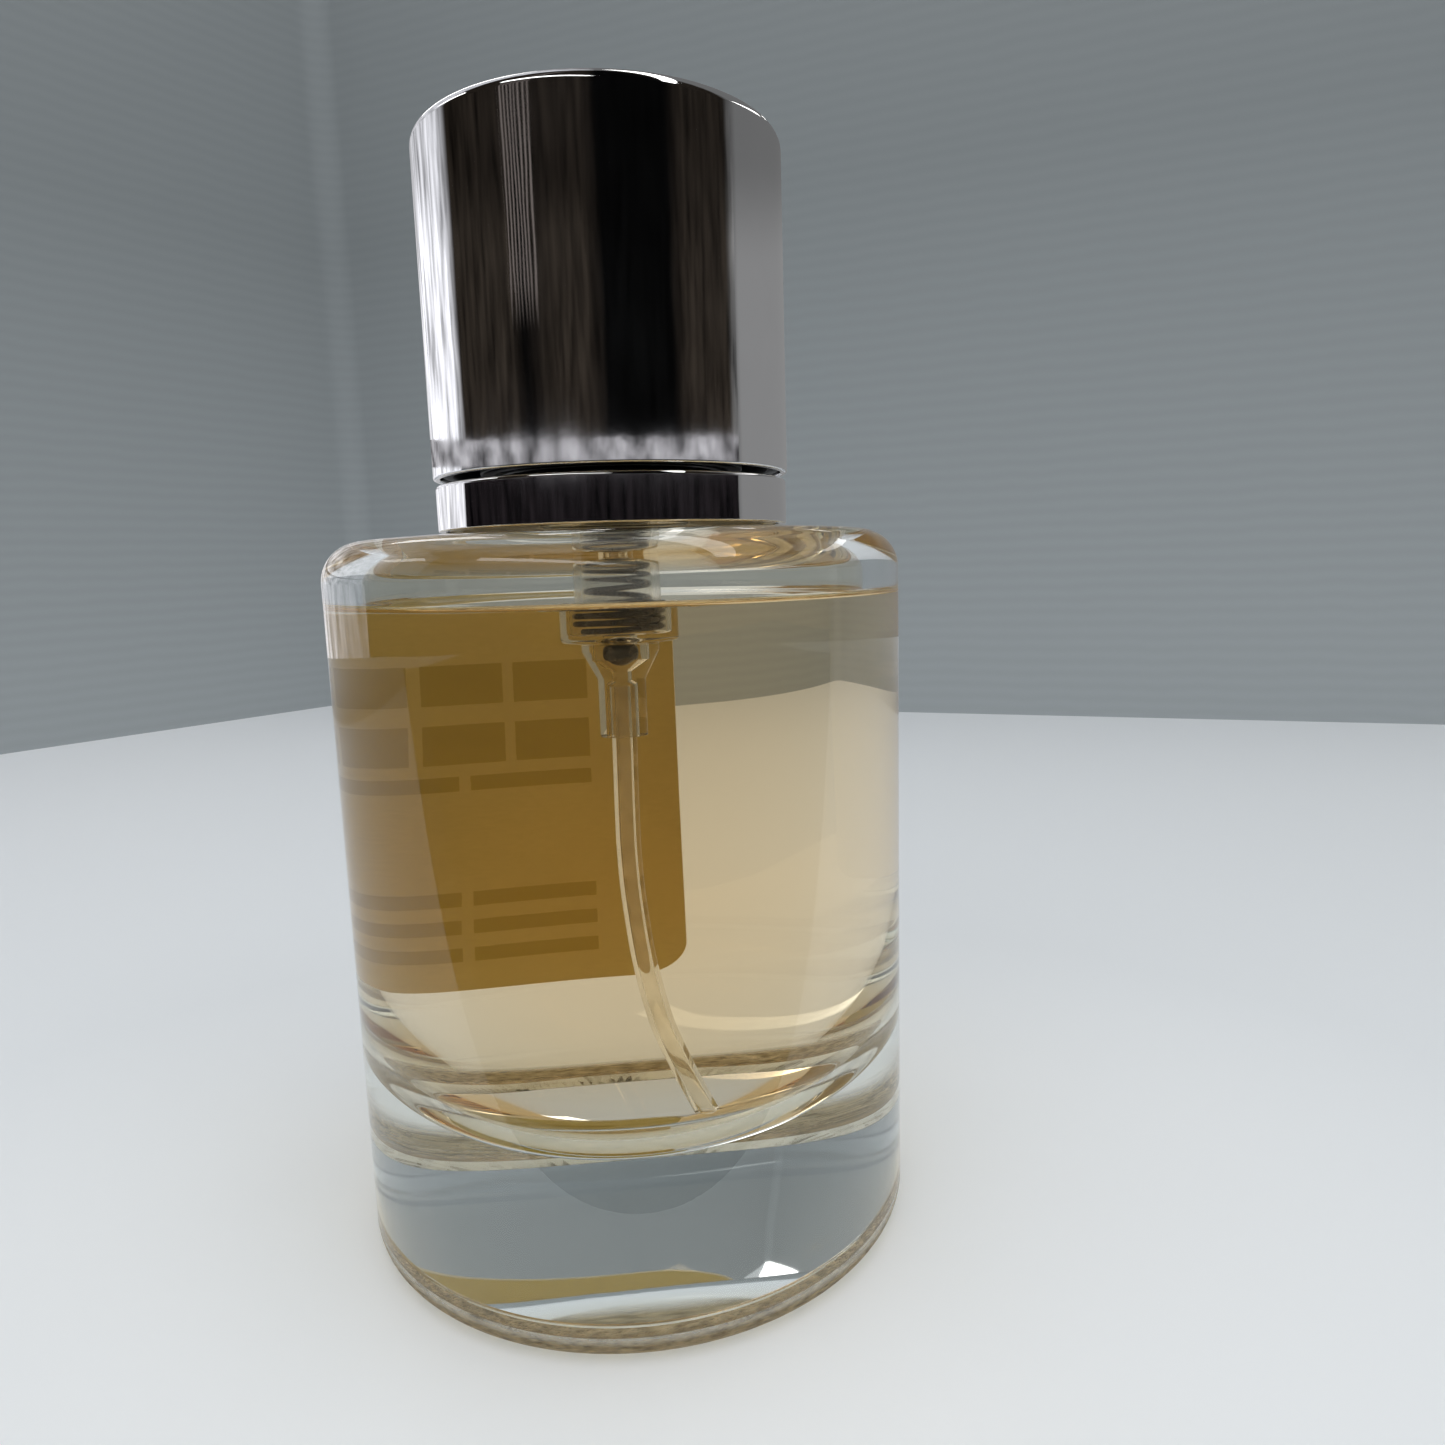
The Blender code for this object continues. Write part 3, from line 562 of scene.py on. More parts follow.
def inner_shape(r, angle, z):
    """Let the cavity's side be uneven, and leave the outside and the neck true."""
    inside = CAVITY_R + 2 * CONTACT
    if r > inside or z < CAVITY_FLOOR - 0.5 or z > CAVITY_TOP - 0.5 or r < CAVITY_R / 2:
        return r
    return r + glass_wave(angle, z) * min(1.0, (r - CAVITY_R / 2) / 6.0)


def cavity_floor(larger):
    """The outline of the cavity from the middle of its bowl-like floor up to the straight side."""
    flat_r = CAVITY_R - CAVITY_BOWL_R
    bowl_r = CAVITY_BOWL_R + larger
    centre_z = CAVITY_FLOOR + CAVITY_BOWL_R
    steps = ceil(pi / 2 / ARC_STEP) * 2
    angles = [pi / 2 * k / steps for k in range(steps + 1)]
    bowl = [(flat_r + bowl_r * sin(a), centre_z - bowl_r * cos(a)) for a in angles]
    return [(0.0, CAVITY_FLOOR - larger), *bowl]


def glass_body():
    recess_r = FOOT_R - 0.8
    recess = [(recess_r, PUSH_UP - 0.15, 0.5)]
    recess += [(recess_r * k / 6, PUSH_UP - 0.15 * (k / 6) ** 2) for k in range(5, -1, -1)]
    profile = cavity_floor(0.0) + [
        (CAVITY_R, FILL_LEVEL + CLIMB),
        (CAVITY_R, CAVITY_TOP, CAVITY_TOP_EDGE_R),
        (THROAT_R, THROAT_Z, THROAT_BEND_R),
        (NECK_BORE_R, THROAT_TOP, 1.5),
        (NECK_BORE_R, NECK_TOP, 0.3),
        (BEAD_R, NECK_TOP, 0.6),
        (BEAD_R, BEAD_BOTTOM, 0.5),
        (NECK_R, BEAD_BOTTOM - 0.5, 0.3),
        (NECK_R, SHOULDER_Z + 0.5, 0.8),
        (COLLAR_R, SHOULDER_Z, 0.5),
        (BODY_R, SHOULDER_Z - SHOULDER_FALL, SHOULDER_EDGE_R),
        (BODY_R, 0.0, HEEL_R),
        (FOOT_R, 0.0, 0.4),
    ] + recess
    mesh = turned("glass_body", profile, closed=False, shape=inner_shape)
    return add("glass_body", mesh, GLASS, "bottle", "clear_glass", "glass_bottle")


def perfume_liquid():
    """The liquid, with a small meniscus where its surface meets the glass."""
    edge_r = CAVITY_R + CONTACT
    fall = 0.35
    climb = [(edge_r - run, FILL_LEVEL + CLIMB * exp(-run / fall))
             for run in (0.0, 0.15, 0.35, 0.7, 1.3)]
    surface = climb + [(edge_r * k / 8, FILL_LEVEL) for k in range(7, -1, -1)]
    mesh = turned("perfume_liquid", cavity_floor(CONTACT) + surface, closed=False, shape=inner_shape)
    return add("perfume_liquid", mesh, LIQUID, "bottle", "pale_gold_liquid", "perfume")


def label_sheet():
    """A bent sheet with round corners, held in the glass's skin so that no air lies behind it."""
    half = LABEL_WIDTH / 2
    straight = half - LABEL_CORNER
    corner = [half - LABEL_CORNER * (1 - cos(pi / 2 * k / 12)) for k in range(13)]
    middle = [straight * (1 - k / 40) for k in range(1, 80)]
    columns = corner + middle + [-place for place in reversed(corner)]
    rows = 14
    body = bmesh.new()
    layers = []
    for radius in (BODY_R - CONTACT, LABEL_OUTER_R):
        grid = []
        for place in columns:
            into = max(abs(place) - straight, 0.0)
            fall = LABEL_CORNER - sqrt(max(LABEL_CORNER ** 2 - into ** 2, 0.0))
            low, high = LABEL_BOTTOM + fall, LABEL_TOP - fall
            x, y = radius * sin(place / BODY_R) * MM, -radius * cos(place / BODY_R) * MM
            grid.append([body.verts.new((x, y, (low + (high - low) * k / rows) * MM))
                         for k in range(rows + 1)])
        layers.append(grid)
    last = len(columns) - 1
    for layer, grid in enumerate(layers):
        for i in range(last):
            for k in range(rows):
                face = body.faces.new((grid[i][k], grid[i + 1][k], grid[i + 1][k + 1], grid[i][k + 1]))
                face.material_index = layer
    rim = ([(i, 0) for i in range(last + 1)] + [(last, k) for k in range(1, rows + 1)]
           + [(i, rows) for i in range(last - 1, -1, -1)] + [(0, k) for k in range(rows - 1, 0, -1)])
    inner, outer = layers
    for (i, k), (j, m) in zip(rim, rim[1:] + rim[:1]):
        face = body.faces.new((inner[i][k], inner[j][m], outer[j][m], outer[i][k]))
        face.material_index = 1
    mesh = to_mesh("label_sheet", body)
    return add("label_sheet", mesh, [LABEL_BACK, LABEL_FRONT], "bottle", "label_paper", "front_label")


# ---------------------------------------------------------------- pump
def pump_body():
    """Moulded housing: flange, cylinder, ball seat and dip tube socket, wet below the surface."""
    tube_hole_r = TUBE_R + 0.1
    profile = [
        (SPIGOT_R, HOUSING_TOP, 0.2),
        (SPIGOT_R, FLANGE_TOP),
        (7.2, FLANGE_TOP, 0.2),
        (7.2, FLANGE_BOTTOM, 0.2),
        (HOUSING_R, FLANGE_BOTTOM),
        (HOUSING_R, FILL_LEVEL),
        (HOUSING_R, HOUSING_BOTTOM, 0.3),
        (2.6, HOUSING_BOTTOM - 0.2, 0.1),
        (2.6, HOUSING_BOTTOM - 0.8, 0.2),
        (SOCKET_R, 49.9, 0.4),
        (SOCKET_R, SOCKET_BOTTOM, 0.12),
        (tube_hole_r, SOCKET_BOTTOM, 0.1),
        (tube_hole_r, 49.5),
        (FLOW_R, 49.8),
        (FLOW_R, BALL_Z - 1.55),
        (1.75, BALL_Z - 0.55),
        (1.75, HOUSING_FLOOR - 0.6),
        (BALL_R - 0.15, HOUSING_FLOOR - 0.3),
        (BALL_R - 0.15, HOUSING_FLOOR),
        (HOUSING_BORE_R, HOUSING_FLOOR, 0.2),
        (HOUSING_BORE_R, FILL_LEVEL),
        (HOUSING_BORE_R, HOUSING_TOP, 0.1),
    ]
    mesh = turned("pump_body", profile, SMALL_STEPS)
    for face in mesh.polygons:
        face.material_index = int(face.center.z > FILL_LEVEL * MM)
    return add("pump_body", mesh, [MILKY_WET, MILKY_DRY], "bottle", "translucent_plastic", "pump_housing")


def steel_ball():
    body = bmesh.new()
    bmesh.ops.create_icosphere(body, subdivisions=4, radius=BALL_R * MM)
    bmesh.ops.translate(body, vec=(0.0, 0.0, BALL_Z * MM), verts=body.verts)
    return add("steel_ball", to_mesh("steel_ball", body), STEEL, "ball", "spring_steel", "check_ball")


def suction_tube():
    """Hollow tube bent in one upright plane, with a slanted end near the floor."""
    way = Vector((sin(TUBE_AZIMUTH), cos(TUBE_AZIMUTH), 0.0))
    up = Vector((0.0, 0.0, 1.0))
    route = smooth_route([way * off + up * z for off, z in TUBE_ROUTE], 8)
    mesh = swept("suction_tube", route, TUBE_R, caps=False, sides=8)
    body = bmesh.new()
    body.from_mesh(mesh)
    bmesh.ops.bisect_plane(body, geom=body.verts[:] + body.edges[:] + body.faces[:],
                           plane_co=(way * TUBE_CUT[0] + up * TUBE_CUT[1]) * MM,
                           plane_no=way * TUBE_CUT_SLOPE[0] + up * TUBE_CUT_SLOPE[1],
                           clear_outer=True)
    body.to_mesh(mesh)
    body.free()

    def add_wall(obj):
        solidify = obj.modifiers.new("wall", "SOLIDIFY")
        solidify.thickness = TUBE_WALL * MM
        solidify.offset = -1.0

    return add("suction_tube", evaluated(mesh, add_wall), TUBE_PLASTIC, "bottle",
               "translucent_plastic", "dip_tube")


def coil(name, radius, wire_r, bottom, top, closed_turns, open_turns):
    """A compression spring, with close-wound turns at both ends and open ones between."""
    steps_per_turn = 32
    close_pitch = 2 * wire_r * 1.3
    open_pitch = (top - bottom - 2 * wire_r - 2 * closed_turns * close_pitch) / open_turns
    points = []
    for step in range(int((2 * closed_turns + open_turns) * steps_per_turn) + 1):
        turn = step / steps_per_turn
        opened = min(max(turn - closed_turns, 0.0), open_turns)
        z = bottom + wire_r + (turn - opened) * close_pitch + opened * open_pitch
        points.append((radius * cos(2 * pi * turn), radius * sin(2 * pi * turn), z))
    return swept(name, points, wire_r, sides=4)


def springs():
    bottom, top, stroke = 53.8, 62.7, 4.5
    large = add("return_coil", coil("return_coil", 2.86, 0.25, bottom, top, 3.0, 3.5), STEEL,
                "bottle", "spring_steel", "return_spring")
    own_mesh(large)
    bottom, top, stroke = 70.1, 74.0, 0.6
    small = add("valve_coil", coil("valve_coil", 2.1, 0.14, bottom, top, 1.0, 2.5), STEEL,
                "stem", "spring_steel", "valve_spring")
    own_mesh(small)


def stem_tube():
    mesh = turned("stem_tube", [
        (STEM_R, STEM_TOP, 0.2),
        (STEM_R, 74.9),
        (2.3, 74.9, 0.1),
        (2.3, 74.1, 0.1),
        (1.7, 74.1),
        (1.7, STEM_FOOT, 0.1),
        (ROD_R + 0.15, STEM_FOOT),
        (ROD_R + 0.15, STEM_FOOT + 4.6),
        (FLOW_R, STEM_FOOT + 5.0),
        (FLOW_R, STEM_TOP),
    ], SMALL_STEPS)
    return add("stem_tube", mesh, WHITE_PLASTIC, "stem", "white_plastic", "stem")


def crimped_ferrule():
    """Rolled aluminium over the neck, with the shallow flutes of the crimping tool."""
    flutes = 12

    def crimped(r, angle, z):
        depth = 0.08 * max(0.0, min(1.0, (BEAD_BOTTOM + 0.6 - z) / 0.8))
        return r - depth * (0.5 + 0.5 * cos(flutes * angle))

    skirt_inner_r = FERRULE_R - FERRULE_WALL - 0.05
    boss_inner_r = BOSS_R - FERRULE_WALL
    mesh = turned("ferrule", [
        (BOSS_HOLE_R, BOSS_TOP),
        (BOSS_R, BOSS_TOP, 0.6),
        (BOSS_R, PLATE_TOP, 0.2),
        (FERRULE_R, PLATE_TOP, 0.6),
        (FERRULE_R, BEAD_BOTTOM - 0.2, 0.3),
        (7.1, BEAD_BOTTOM - 1.1, 0.12),
        (6.8, BEAD_BOTTOM - 0.8),
        (skirt_inner_r, BEAD_BOTTOM + 0.05),
        (skirt_inner_r, PLATE_TOP - FERRULE_WALL, 0.3),
        (boss_inner_r, PLATE_TOP - FERRULE_WALL),
        (boss_inner_r, BOSS_TOP - FERRULE_WALL, 0.3),
        (BOSS_HOLE_R, BOSS_TOP - FERRULE_WALL),
    ], 144, shape=crimped)
    return add("ferrule", mesh, ALUMINIUM, "bottle", "ferrule_aluminium", "crimp_ferrule")


# ---------------------------------------------------------------- spray button
def along_y(mesh, front_y):
    """Lay a piece that was turned about Z on its side, its top towards -Y."""
    mesh.transform(Matrix.Translation(Vector((0.0, front_y, NOZZLE_Z)) * MM)
                   @ Matrix.Rotation(pi / 2, 4, "X"))
    return mesh


def with_hole(mesh, radius, front_y, back_y):
    """Cut a round hole along Y at the nozzle's height."""
    tool = along_y(turned("hole", [(0.0, 0.0), (radius, 0.0), (radius, front_y - back_y),
                                   (0.0, front_y - back_y)], 64, closed=False), front_y)
    cutter = bpy.data.objects.new("hole", tool)
    bpy.context.scene.collection.objects.link(cutter)

    def add_cut(obj):
        cut = obj.modifiers.new("hole", "BOOLEAN")
        cut.operation = "DIFFERENCE"
        cut.solver = "EXACT"
        cut.object = cutter

    result = evaluated(mesh, add_cut)
    bpy.data.objects.remove(cutter)
    return result


def spray_button():
    core_r = BUTTON_R - 0.55
    top = BUTTON_TOP - 0.55
    outside = -BUTTON_R - 1.0
    core = turned("button_inside", [
        (0.0, top),
        (core_r, top, 0.3),
        (core_r, BUTTON_BOTTOM + 0.1, 0.1),
        (BOSS_R + 0.3, BUTTON_BOTTOM + 0.1, 0.1),
        (BOSS_R + 0.3, BOSS_TOP + 5.0, 0.2),
        (STEM_R + 0.1, BOSS_TOP + 5.0),
        (STEM_R + 0.1, STEM_TOP + 0.2),
        (FLOW_R, STEM_TOP + 0.3),
        (FLOW_R, NOZZLE_Z + 0.3),
        (0.0, NOZZLE_Z + 0.3),
    ], SMALL_STEPS, closed=False)
    core = with_hole(core, NOZZLE_R + 0.1, outside, -4.1)
    core = with_hole(core, 0.5, -4.3, 0.2)
    add("button_inside", core, WHITE_PLASTIC, "button", "white_plastic", "button_core")

    dish = [(BUTTON_R * 0.82 * k / 8, BUTTON_TOP - 0.28 * (1 - (k / 8) ** 2)) for k in range(9)]
    inner_r = BUTTON_R - 0.4
    shell = turned("button_shell", dish + [
        (BUTTON_R, BUTTON_TOP, 0.7),
        (BUTTON_R, BUTTON_BOTTOM, 0.12),
        (inner_r, BUTTON_BOTTOM, 0.1),
        (inner_r, BUTTON_TOP - 0.42),
        (0.0, BUTTON_TOP - 0.42),
    ], SMALL_STEPS, closed=False)
    shell = with_hole(shell, NOZZLE_R + 0.4, outside, -4.3)
    add("button_shell", shell, CAP_CHROME, "button", "chrome", "button_sleeve")

    depth, orifice_r = 2.4, 0.22
    nozzle = turned("nozzle", [
        (0.5, depth, 0.1),
        (NOZZLE_R, depth, 0.25),
        (NOZZLE_R, 0.0),
        (1.2, 0.0),
        (1.2, depth - 0.8),
        (orifice_r, depth - 0.6),
        (orifice_r, depth - 0.3),
    ], SMALL_STEPS)
    add("nozzle", along_y(nozzle, -4.3), WHITE_PLASTIC, "button", "white_plastic", "nozzle_insert")


# ---------------------------------------------------------------- collar and cap
def collar():
    mesh = turned("collar_metal", [
        (COLLAR_MOUTH_R, COLLAR_TOP, 0.15),
        (COLLAR_SLEEVE_R, COLLAR_TOP, 0.5),
        (COLLAR_SLEEVE_R, COLLAR_STEP, 0.2),
        (COLLAR_R, COLLAR_STEP, 0.35),
        (COLLAR_R, COLLAR_BOTTOM, 0.15),
        (COLLAR_R - COLLAR_WALL, COLLAR_BOTTOM, 0.1),
        (COLLAR_R - COLLAR_WALL, COLLAR_STEP - COLLAR_WALL),
        (COLLAR_SLEEVE_R - COLLAR_WALL, COLLAR_STEP - COLLAR_WALL),
        (COLLAR_SLEEVE_R - COLLAR_WALL, COLLAR_TOP - COLLAR_WALL),
        (COLLAR_MOUTH_R, COLLAR_TOP - COLLAR_WALL, 0.15),
    ])
    return add("collar_metal", mesh, COLLAR_CHROME, "bottle", "chrome", "collar_shell")


def cap():
    inner_r = CAP_R - CAP_WALL
    metal = turned("cap_metal", [
        (0.0, CAP_TOP),
        (CAP_R, CAP_TOP, CAP_EDGE_R),
        (CAP_R, CAP_BOTTOM, 0.18),
        (inner_r, CAP_BOTTOM, 0.18),
        (inner_r, CAP_TOP - CAP_WALL, 0.3),
        (0.0, CAP_TOP - CAP_WALL),
    ], closed=False)
    add("cap_metal", metal, CAP_CHROME, "cap", "chrome", "cap_shell")

    top = CAP_TOP - CAP_WALL - 0.3
    skirt_r = inner_r - 0.15
    cup = turned("cap_cup", [
        (0.0, top),
        (skirt_r, top, 0.8),
        (skirt_r, CAP_BOTTOM + 0.3, 0.15),
        (skirt_r - 1.0, CAP_BOTTOM + 0.3, 0.15),
        (skirt_r - 1.0, CAP_CEILING, 0.3),
        (0.0, CAP_CEILING),
    ], closed=False)
    add("cap_cup", cup, DARK_PLASTIC, "cap", "dark_plastic", "cap_liner")

    ribs = 16
    grip_r = COLLAR_SLEEVE_R + 0.3
    ledge = COLLAR_TOP + 0.3

    def ribbed(r, angle, z):
        if r > grip_r + 0.05 or z > ledge - 0.2:
            return r
        return r - 0.16 * max(0.0, cos(ribs * angle)) ** 6

    sleeve = turned("cap_grip", [
        (grip_r, CAP_CEILING - 0.1),
        (grip_r + 1.2, CAP_CEILING - 0.1),
        (grip_r + 1.2, CAP_BOTTOM + 0.4, 0.2),
        (grip_r, CAP_BOTTOM + 0.4, 0.2),
        (grip_r, ledge - 0.4),
        (grip_r, ledge),
        (grip_r - 1.0, ledge, 0.1),
        (grip_r - 1.0, ledge + 1.4),
        (grip_r, ledge + 2.4),
    ], 288, shape=ribbed)
    add("cap_grip", sleeve, DARK_PLASTIC, "cap", "dark_plastic", "cap_sleeve")


def finish_kept_nodes():
    """CAD pieces whose shape is right keep their mesh, and get a finished surface."""
    surfaces = {
        "neck_gasket": RUBBER, "stem_gasket": RUBBER, "turret": MILKY_DRY, "piston": WHITE_PLASTIC,
        "valve_rod": WHITE_PLASTIC, "collar_liner": WHITE_PLASTIC,
    }
    for node, surface in surfaces.items():
        for material_slot in bpy.data.objects[node].material_slots:
            material_slot.material = surface


# ---------------------------------------------------------------- studio
VIEW_AZIMUTH = radians(35.3)     # from +Y towards +X, so the label is seen from behind
TO_VIEWER = Vector((sin(VIEW_AZIMUTH), cos(VIEW_AZIMUTH)))
VIEW_DISTANCE = 93.5
VIEW_HEIGHT = 59.4
PAN, TILT, ROLL = 0.0973, 0.1555, -0.0301
WALL_LEFT = (450.0, -254.0)
WALL_FOLD = (-135.0, -396.0)
WALL_RIGHT = (-470.0, 224.0)
WALL_HEIGHT = 330.0
TABLE_R = 700.0
TABLE_END = 43.0                 # how far the table reaches towards the viewer, in reflections
TABLE_END_HALF_WIDTH = 600.0


def camera():
    data = bpy.data.cameras.new("camera")
    data.lens = 25.4
    data.sensor_width = 36.0
    data.clip_start = 0.001
    obj = bpy.data.objects.new("camera", data)
    bpy.context.scene.collection.objects.link(obj)
    stand = Vector((*TO_VIEWER * VIEW_DISTANCE, VIEW_HEIGHT))
    facing = pi - VIEW_AZIMUTH
    turn = (Matrix.Rotation(facing - PAN, 4, "Z") @ Matrix.Rotation(pi / 2 - TILT, 4, "X")
            @ Matrix.Rotation(ROLL, 4, "Z"))
    obj.matrix_world = Matrix.Translation(stand * MM) @ turn
    bpy.context.scene.camera = obj


def room():
    """A pale table top, and a pale-grey paper wall with an upright fold behind the bottle."""
    floor_paint, s = new_material("floor_paint")
    cloud = s.noise(9.0, 3.0)
    shade = s.tint(s.between(cloud, 0.0, 1.0), (0.86, 0.885, 0.91, 1.0), (0.89, 0.91, 0.93, 1.0))
    # Painted light: the table is lightest just in front of the bottle and painted darker away from it,
    # like a pool of light
    painted_light_centre = TO_VIEWER * 30.0 * MM
    away = s.node("ShaderNodeVectorMath", settings={"operation": "DISTANCE"}, out=1,
                  _0=s.place(), _1=(*painted_light_centre, 0.0))
    painted_light_falloff = s.node("ShaderNodeMapRange", Value=away, From_Min=0.02, From_Max=0.10)
    shade = s.tint(painted_light_falloff, shade, (0.74, 0.77, 0.80, 1.0))
    s.finish(s.node("ShaderNodeBsdfPrincipled", Base_Color=shade, Roughness=0.55))
    wall_paint, s = new_material("wall_paint")
    # Faint painted shade in bands, for the corrugations of the wall paper, which the flat wall lacks
    wave = s.node("ShaderNodeTexWave", settings={"bands_direction": "Z"}, Vector=s.place(),
                  Scale=70.0, Distortion=1.5, Detail=1.0)
    # Painted shade: the wall is painted lighter at the bottom and darker towards the top, for how the
    # light falls on it
    rise = s.node("ShaderNodeMapRange", Value=s.split(s.place())[2], From_Min=0.0, From_Max=0.2,
                  To_Min=0.0, To_Max=1.0)
    shade = s.tint(rise, (0.375, 0.405, 0.420, 1.0), (0.225, 0.246, 0.256, 1.0))
    shade = s.tint(s.math("MULTIPLY", wave, 0.06), shade, (0.1, 0.1, 0.1, 1.0))
    s.finish(s.node("ShaderNodeBsdfPrincipled", Base_Color=shade, Roughness=0.8))

    def add_stage(name, mesh, paint):
        mesh.materials.append(paint)
        obj = bpy.data.objects.new(name, mesh)
        bpy.context.scene.collection.objects.link(obj)
        return obj

    table = [(0.0, 0.0), (TABLE_R, 0.0), (TABLE_R, -2.0), (0.0, -2.0)]
    add_stage("table_top", turned("table_top", table, 96, closed=False), floor_paint)
    line = rounded([WALL_LEFT, (*WALL_FOLD, 12.0), WALL_RIGHT], closed=False)
    body = bmesh.new()
    feet = [body.verts.new((x * MM, y * MM, -0.001)) for x, y in line]
    heads = [body.verts.new((x * MM, y * MM, WALL_HEIGHT * MM)) for x, y in line]
    for k in range(len(line) - 1):
        body.faces.new((feet[k], feet[k + 1], heads[k + 1], heads[k]))
    mesh = to_mesh("paper_wall", body)
    mesh.shade_smooth()
    wall = add_stage("paper_wall", mesh, wall_paint)
    wall.visible_glossy = False
    # Painted reflection: a dark sheet that only the glass and the metal show, so that in them the table
    # seems to end in front
    across = Vector((TO_VIEWER.y, -TO_VIEWER.x)) * TABLE_END_HALF_WIDTH
    near, far = TO_VIEWER * TABLE_END, TO_VIEWER * TABLE_R
    edge = [near - across, near + across, far + across, far - across]
    body = bmesh.new()
    body.faces.new([body.verts.new((x * MM, y * MM, 0.0002)) for x, y in edge])
    reflected_dark_paint, s = new_material("dark_cloth")
    shade = s.tint(s.between(s.noise(60.0, 3.0), 0.0, 1.0), (0.02, 0.02, 0.022, 1.0),
                   (0.05, 0.048, 0.05, 1.0))
    s.finish(s.node("ShaderNodeBsdfPrincipled", Base_Color=shade, Roughness=0.9))
    reflected_sheet = add_stage("dark_cloth", to_mesh("dark_cloth", body), reflected_dark_paint)
    reflected_sheet.visible_camera = False
    reflected_sheet.visible_diffuse = False
    reflected_sheet.visible_shadow = False


def lamp(name, place, aim, width, height, power, colour=(1.0, 1.0, 1.0)):
    data = bpy.data.lights.new(name, "AREA")
    data.shape = "RECTANGLE"
    data.size = width * MM
    data.size_y = height * MM
    data.energy = power
    data.color = colour
    obj = bpy.data.objects.new(name, data)
    bpy.context.scene.collection.objects.link(obj)
    way = Vector(aim) - Vector(place)
    obj.location = Vector(place) * MM
    obj.rotation_euler = way.to_track_quat("-Z", "Y").to_euler()
    obj.visible_glossy = False
    obj.visible_transmission = False
    return obj


# The room that the mirror-bright cap reflects is made up: a window on the left, dark shelves behind
# the viewer and a plain wall on the right. Each stop is a compass angle from the viewer's side and
# a tone, and all heights see the same room, darker above.
WINDOW = srgb(240, 240, 245)
WALL = srgb(130, 130, 130)
SHELF = srgb(40, 35, 30)
GAP = srgb(5, 5, 5)
ROOM = [
    (-180, WALL), (-150, WINDOW), (-110, WINDOW), (-100, SHELF), (-60, SHELF), (-50, GAP),
    (-30, SHELF), (-10, SHELF), (0, GAP), (40, GAP), (50, SHELF), (80, SHELF), (90, WALL),
]


def ramp_of(s, row, position):
    made = s.tree.nodes.new("ShaderNodeValToRGB")
    s.tree.links.new(position, made.inputs[0])
    stops = made.color_ramp.elements
    while len(stops) < len(row):
        stops.new(0.5)
    for k, (angle, tone) in enumerate(row):
        stops[k].position = angle / 360 + 0.5
    for k, (angle, tone) in enumerate(row):
        stops[k].color = tone
    return made.outputs[0]


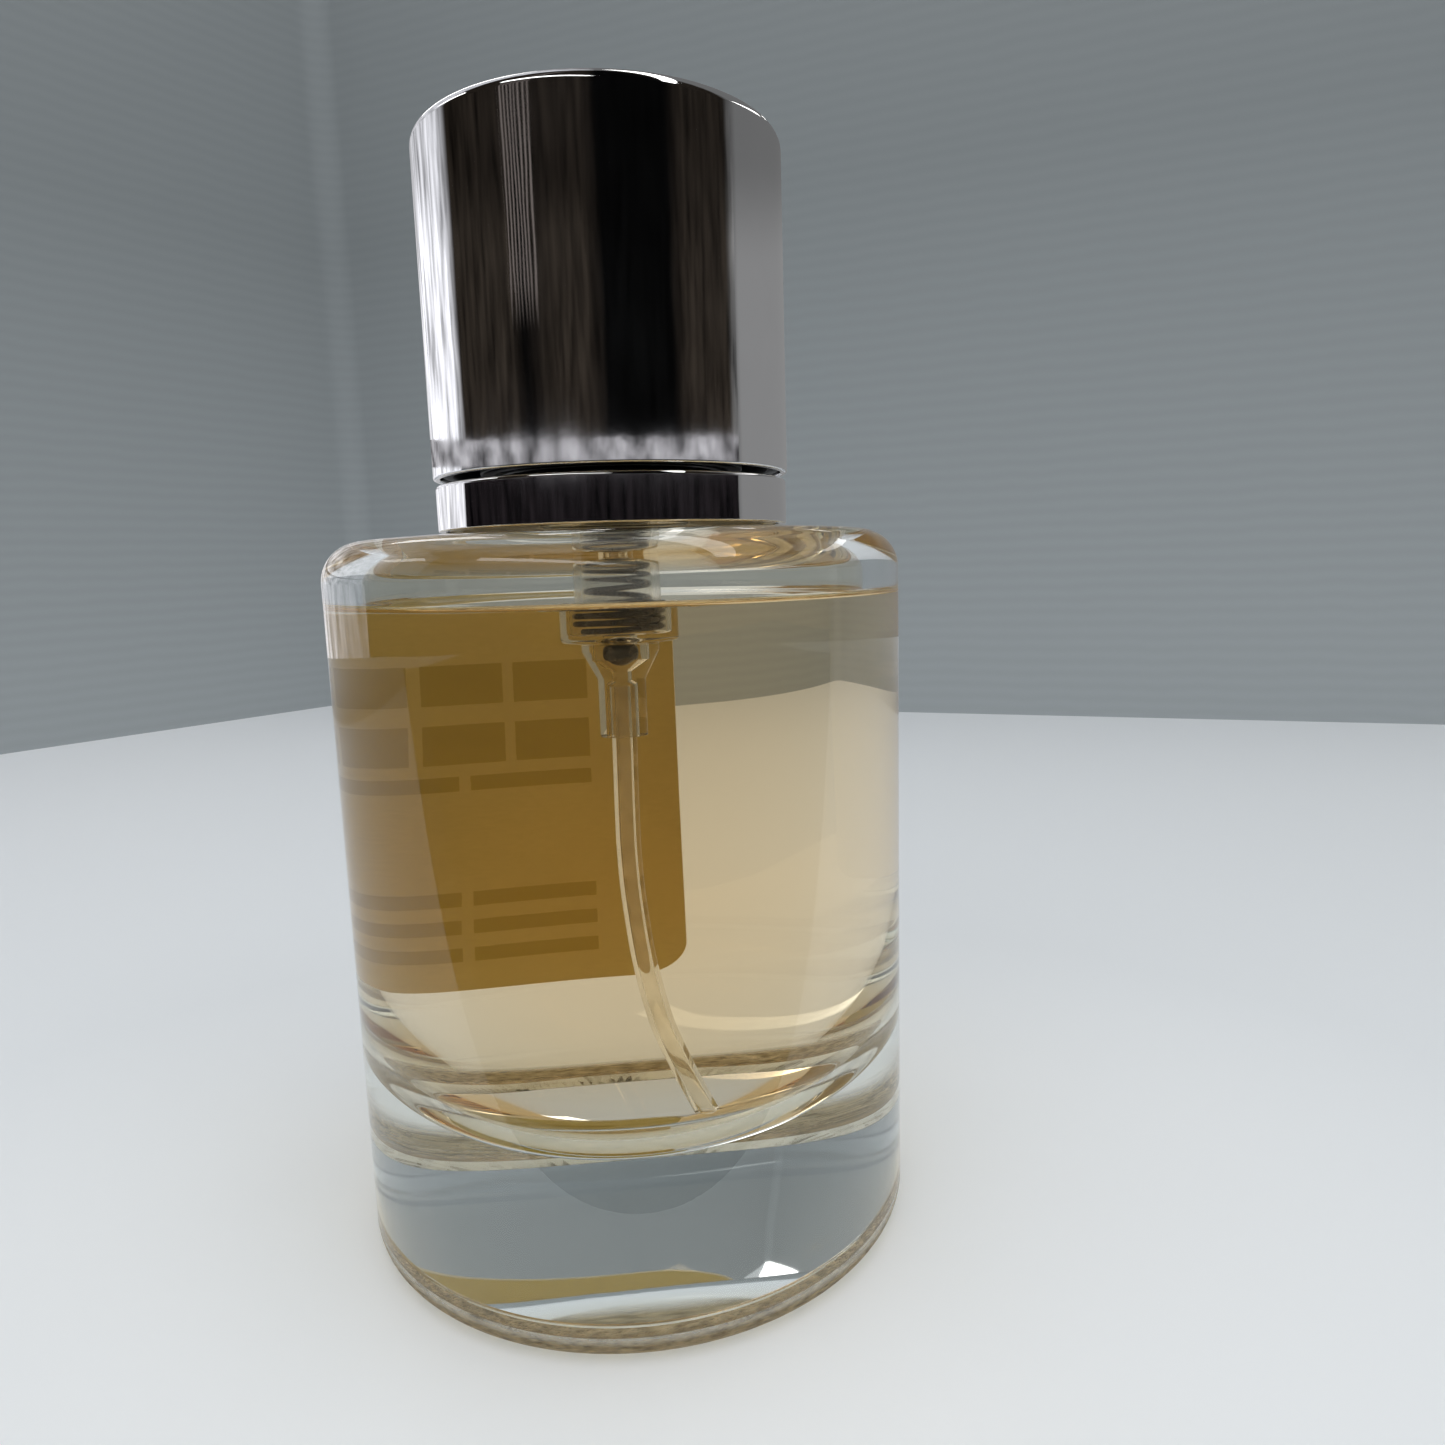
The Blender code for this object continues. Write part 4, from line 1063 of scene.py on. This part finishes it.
def surroundings():
    """Soft light for the room, and the shelves that only reflections show."""
    world = bpy.data.worlds.new("surroundings")
    bpy.context.scene.world = world
    s = Shader(world)
    way = s.node("ShaderNodeTexCoord", out=0)
    x, y, z = s.split(way)
    ahead = 0.25 - VIEW_AZIMUTH / (2 * pi)          # the viewer's side, as a part of a full turn
    compass = s.math("DIVIDE", s.math("ARCTAN2", y, x), 2 * pi)
    wobble = s.math("MULTIPLY", s.math("SUBTRACT", s.noise(7.0, 2.0, way), 0.5), 0.012)
    position = s.math("FRACT", s.math("ADD", s.math("ADD", compass, wobble), 1.5 - ahead))
    height = s.math("MULTIPLY", s.math("ARCSINE", z), 180 / pi)

    room = ramp_of(s, ROOM, position)

    def rise(low, high):
        return s.node("ShaderNodeMapRange", settings={"interpolation_type": "SMOOTHSTEP"},
                      Value=height, From_Min=low, From_Max=high)

    dimmer = s.node("ShaderNodeVectorMath", settings={"operation": "SCALE"}, _0=room, Scale=0.6)
    view = s.tint(rise(15.0, 20.0), room, dimmer)
    # Fine upright streaks, the sum of many small things on the shelves
    upright = s.node("ShaderNodeCombineXYZ", X=s.math("MULTIPLY", position, 90.0),
                     Y=s.math("MULTIPLY", height, 0.22))
    shelves = s.math("LESS_THAN", position, 0.5 + 87 / 360)
    streaks = s.between(s.noise(1.0, 5.0, upright), 0.35, 1.75)
    streaks = s.math("MULTIPLY_ADD", s.math("SUBTRACT", streaks, 1.0), shelves, 1.0)
    view = s.node("ShaderNodeVectorMath", settings={"operation": "SCALE"}, _0=view, Scale=streaks)
    # Upright slats with light between them, high on the left
    slats = s.math("GREATER_THAN", s.math("SINE", s.math("MULTIPLY", position, 2 * pi * 150)), 0.35)
    among = s.math("COMPARE", position, 0.5 - 49 / 360, 10 / 360)
    slats = s.math("MULTIPLY", s.math("MULTIPLY", slats, among), rise(12.0, 15.0))
    view = s.tint(slats, view, srgb(112, 104, 100))
    # A table edge and its clutter close to the horizon
    lengthwise = s.node("ShaderNodeVectorMath", settings={"operation": "MULTIPLY"},
                        _0=way, _1=(5.0, 5.0, 45.0))
    clutter = s.tint(s.between(s.noise(1.0, 4.0, lengthwise), 0.0, 1.0), srgb(14, 12, 14),
                     srgb(206, 204, 208))
    low_band = s.math("MULTIPLY", s.math("COMPARE", height, 6.1, 0.7), shelves)
    view = s.tint(low_band, view, clutter)
    under = s.math("LESS_THAN", height, 5.4)
    side = s.math("COMPARE", position, 0.5 - 10 / 360, 97 / 360)
    shade_below = s.tint(s.between(s.noise(1.0, 3.0, upright), 0.0, 1.0), srgb(3, 3, 4), srgb(36, 32, 34))
    view = s.tint(s.math("MULTIPLY", under, side), view, shade_below)

    shelf_light = s.node("ShaderNodeBackground", Color=view, Strength=1.15)
    soft_light = s.node("ShaderNodeBackground", Color=(0.93, 0.97, 1.0, 1.0), Strength=0.50)
    path = s.tree.nodes.new("ShaderNodeLightPath")
    mirrored = s.math("MULTIPLY", path.outputs["Is Glossy Ray"],
                      s.math("SUBTRACT", 1.0, path.outputs["Is Transmission Ray"]))
    # Rows of strip lights overhead, for highlights in the metal and the glass
    above = s.math("MAXIMUM", z, 0.05)
    along = s.math("FRACT", s.math("MULTIPLY_ADD", s.math("DIVIDE", x, above), 0.8, 0.3))
    over = s.math("FRACT", s.math("MULTIPLY_ADD", s.math("DIVIDE", y, above), 0.5, 0.1))
    strip = s.math("MULTIPLY", s.math("LESS_THAN", along, 0.16), s.math("LESS_THAN", over, 0.72))
    strip = s.math("MULTIPLY", strip, s.math("GREATER_THAN", z, 0.5))
    strip = s.math("MULTIPLY", strip, s.math("SUBTRACT", 1.0, path.outputs["Is Diffuse Ray"]))
    strip_light = s.node("ShaderNodeBackground", Color=(1.0, 0.99, 0.97, 1.0), Strength=3.5)
    light = s.mixed(strip, s.mixed(mirrored, soft_light, shelf_light), strip_light)
    output = s.tree.nodes.new("ShaderNodeOutputWorld")
    s.tree.links.new(light, output.inputs["Surface"])


def settings():
    scene = bpy.context.scene
    scene.view_settings.view_transform = "Standard"
    scene.view_settings.look = "None"
    cycles = scene.cycles
    cycles.max_bounces = 32
    cycles.transmission_bounces = 28
    cycles.glossy_bounces = 12
    cycles.diffuse_bounces = 4
    cycles.transparent_max_bounces = 32
    cycles.sample_clamp_indirect = 6.0
    cycles.use_denoising = True


camera()
settings()
room()
lamp("sky_panel", (60.0, 90.0, 560.0), (0.0, 0.0, 0.0), 640.0, 640.0, 2.0, (1.0, 0.99, 0.97))
surroundings()
glass_body()
perfume_liquid()
label_sheet()
pump_body()
steel_ball()
suction_tube()
springs()
stem_tube()
crimped_ferrule()
spray_button()
collar()
cap()
finish_kept_nodes()
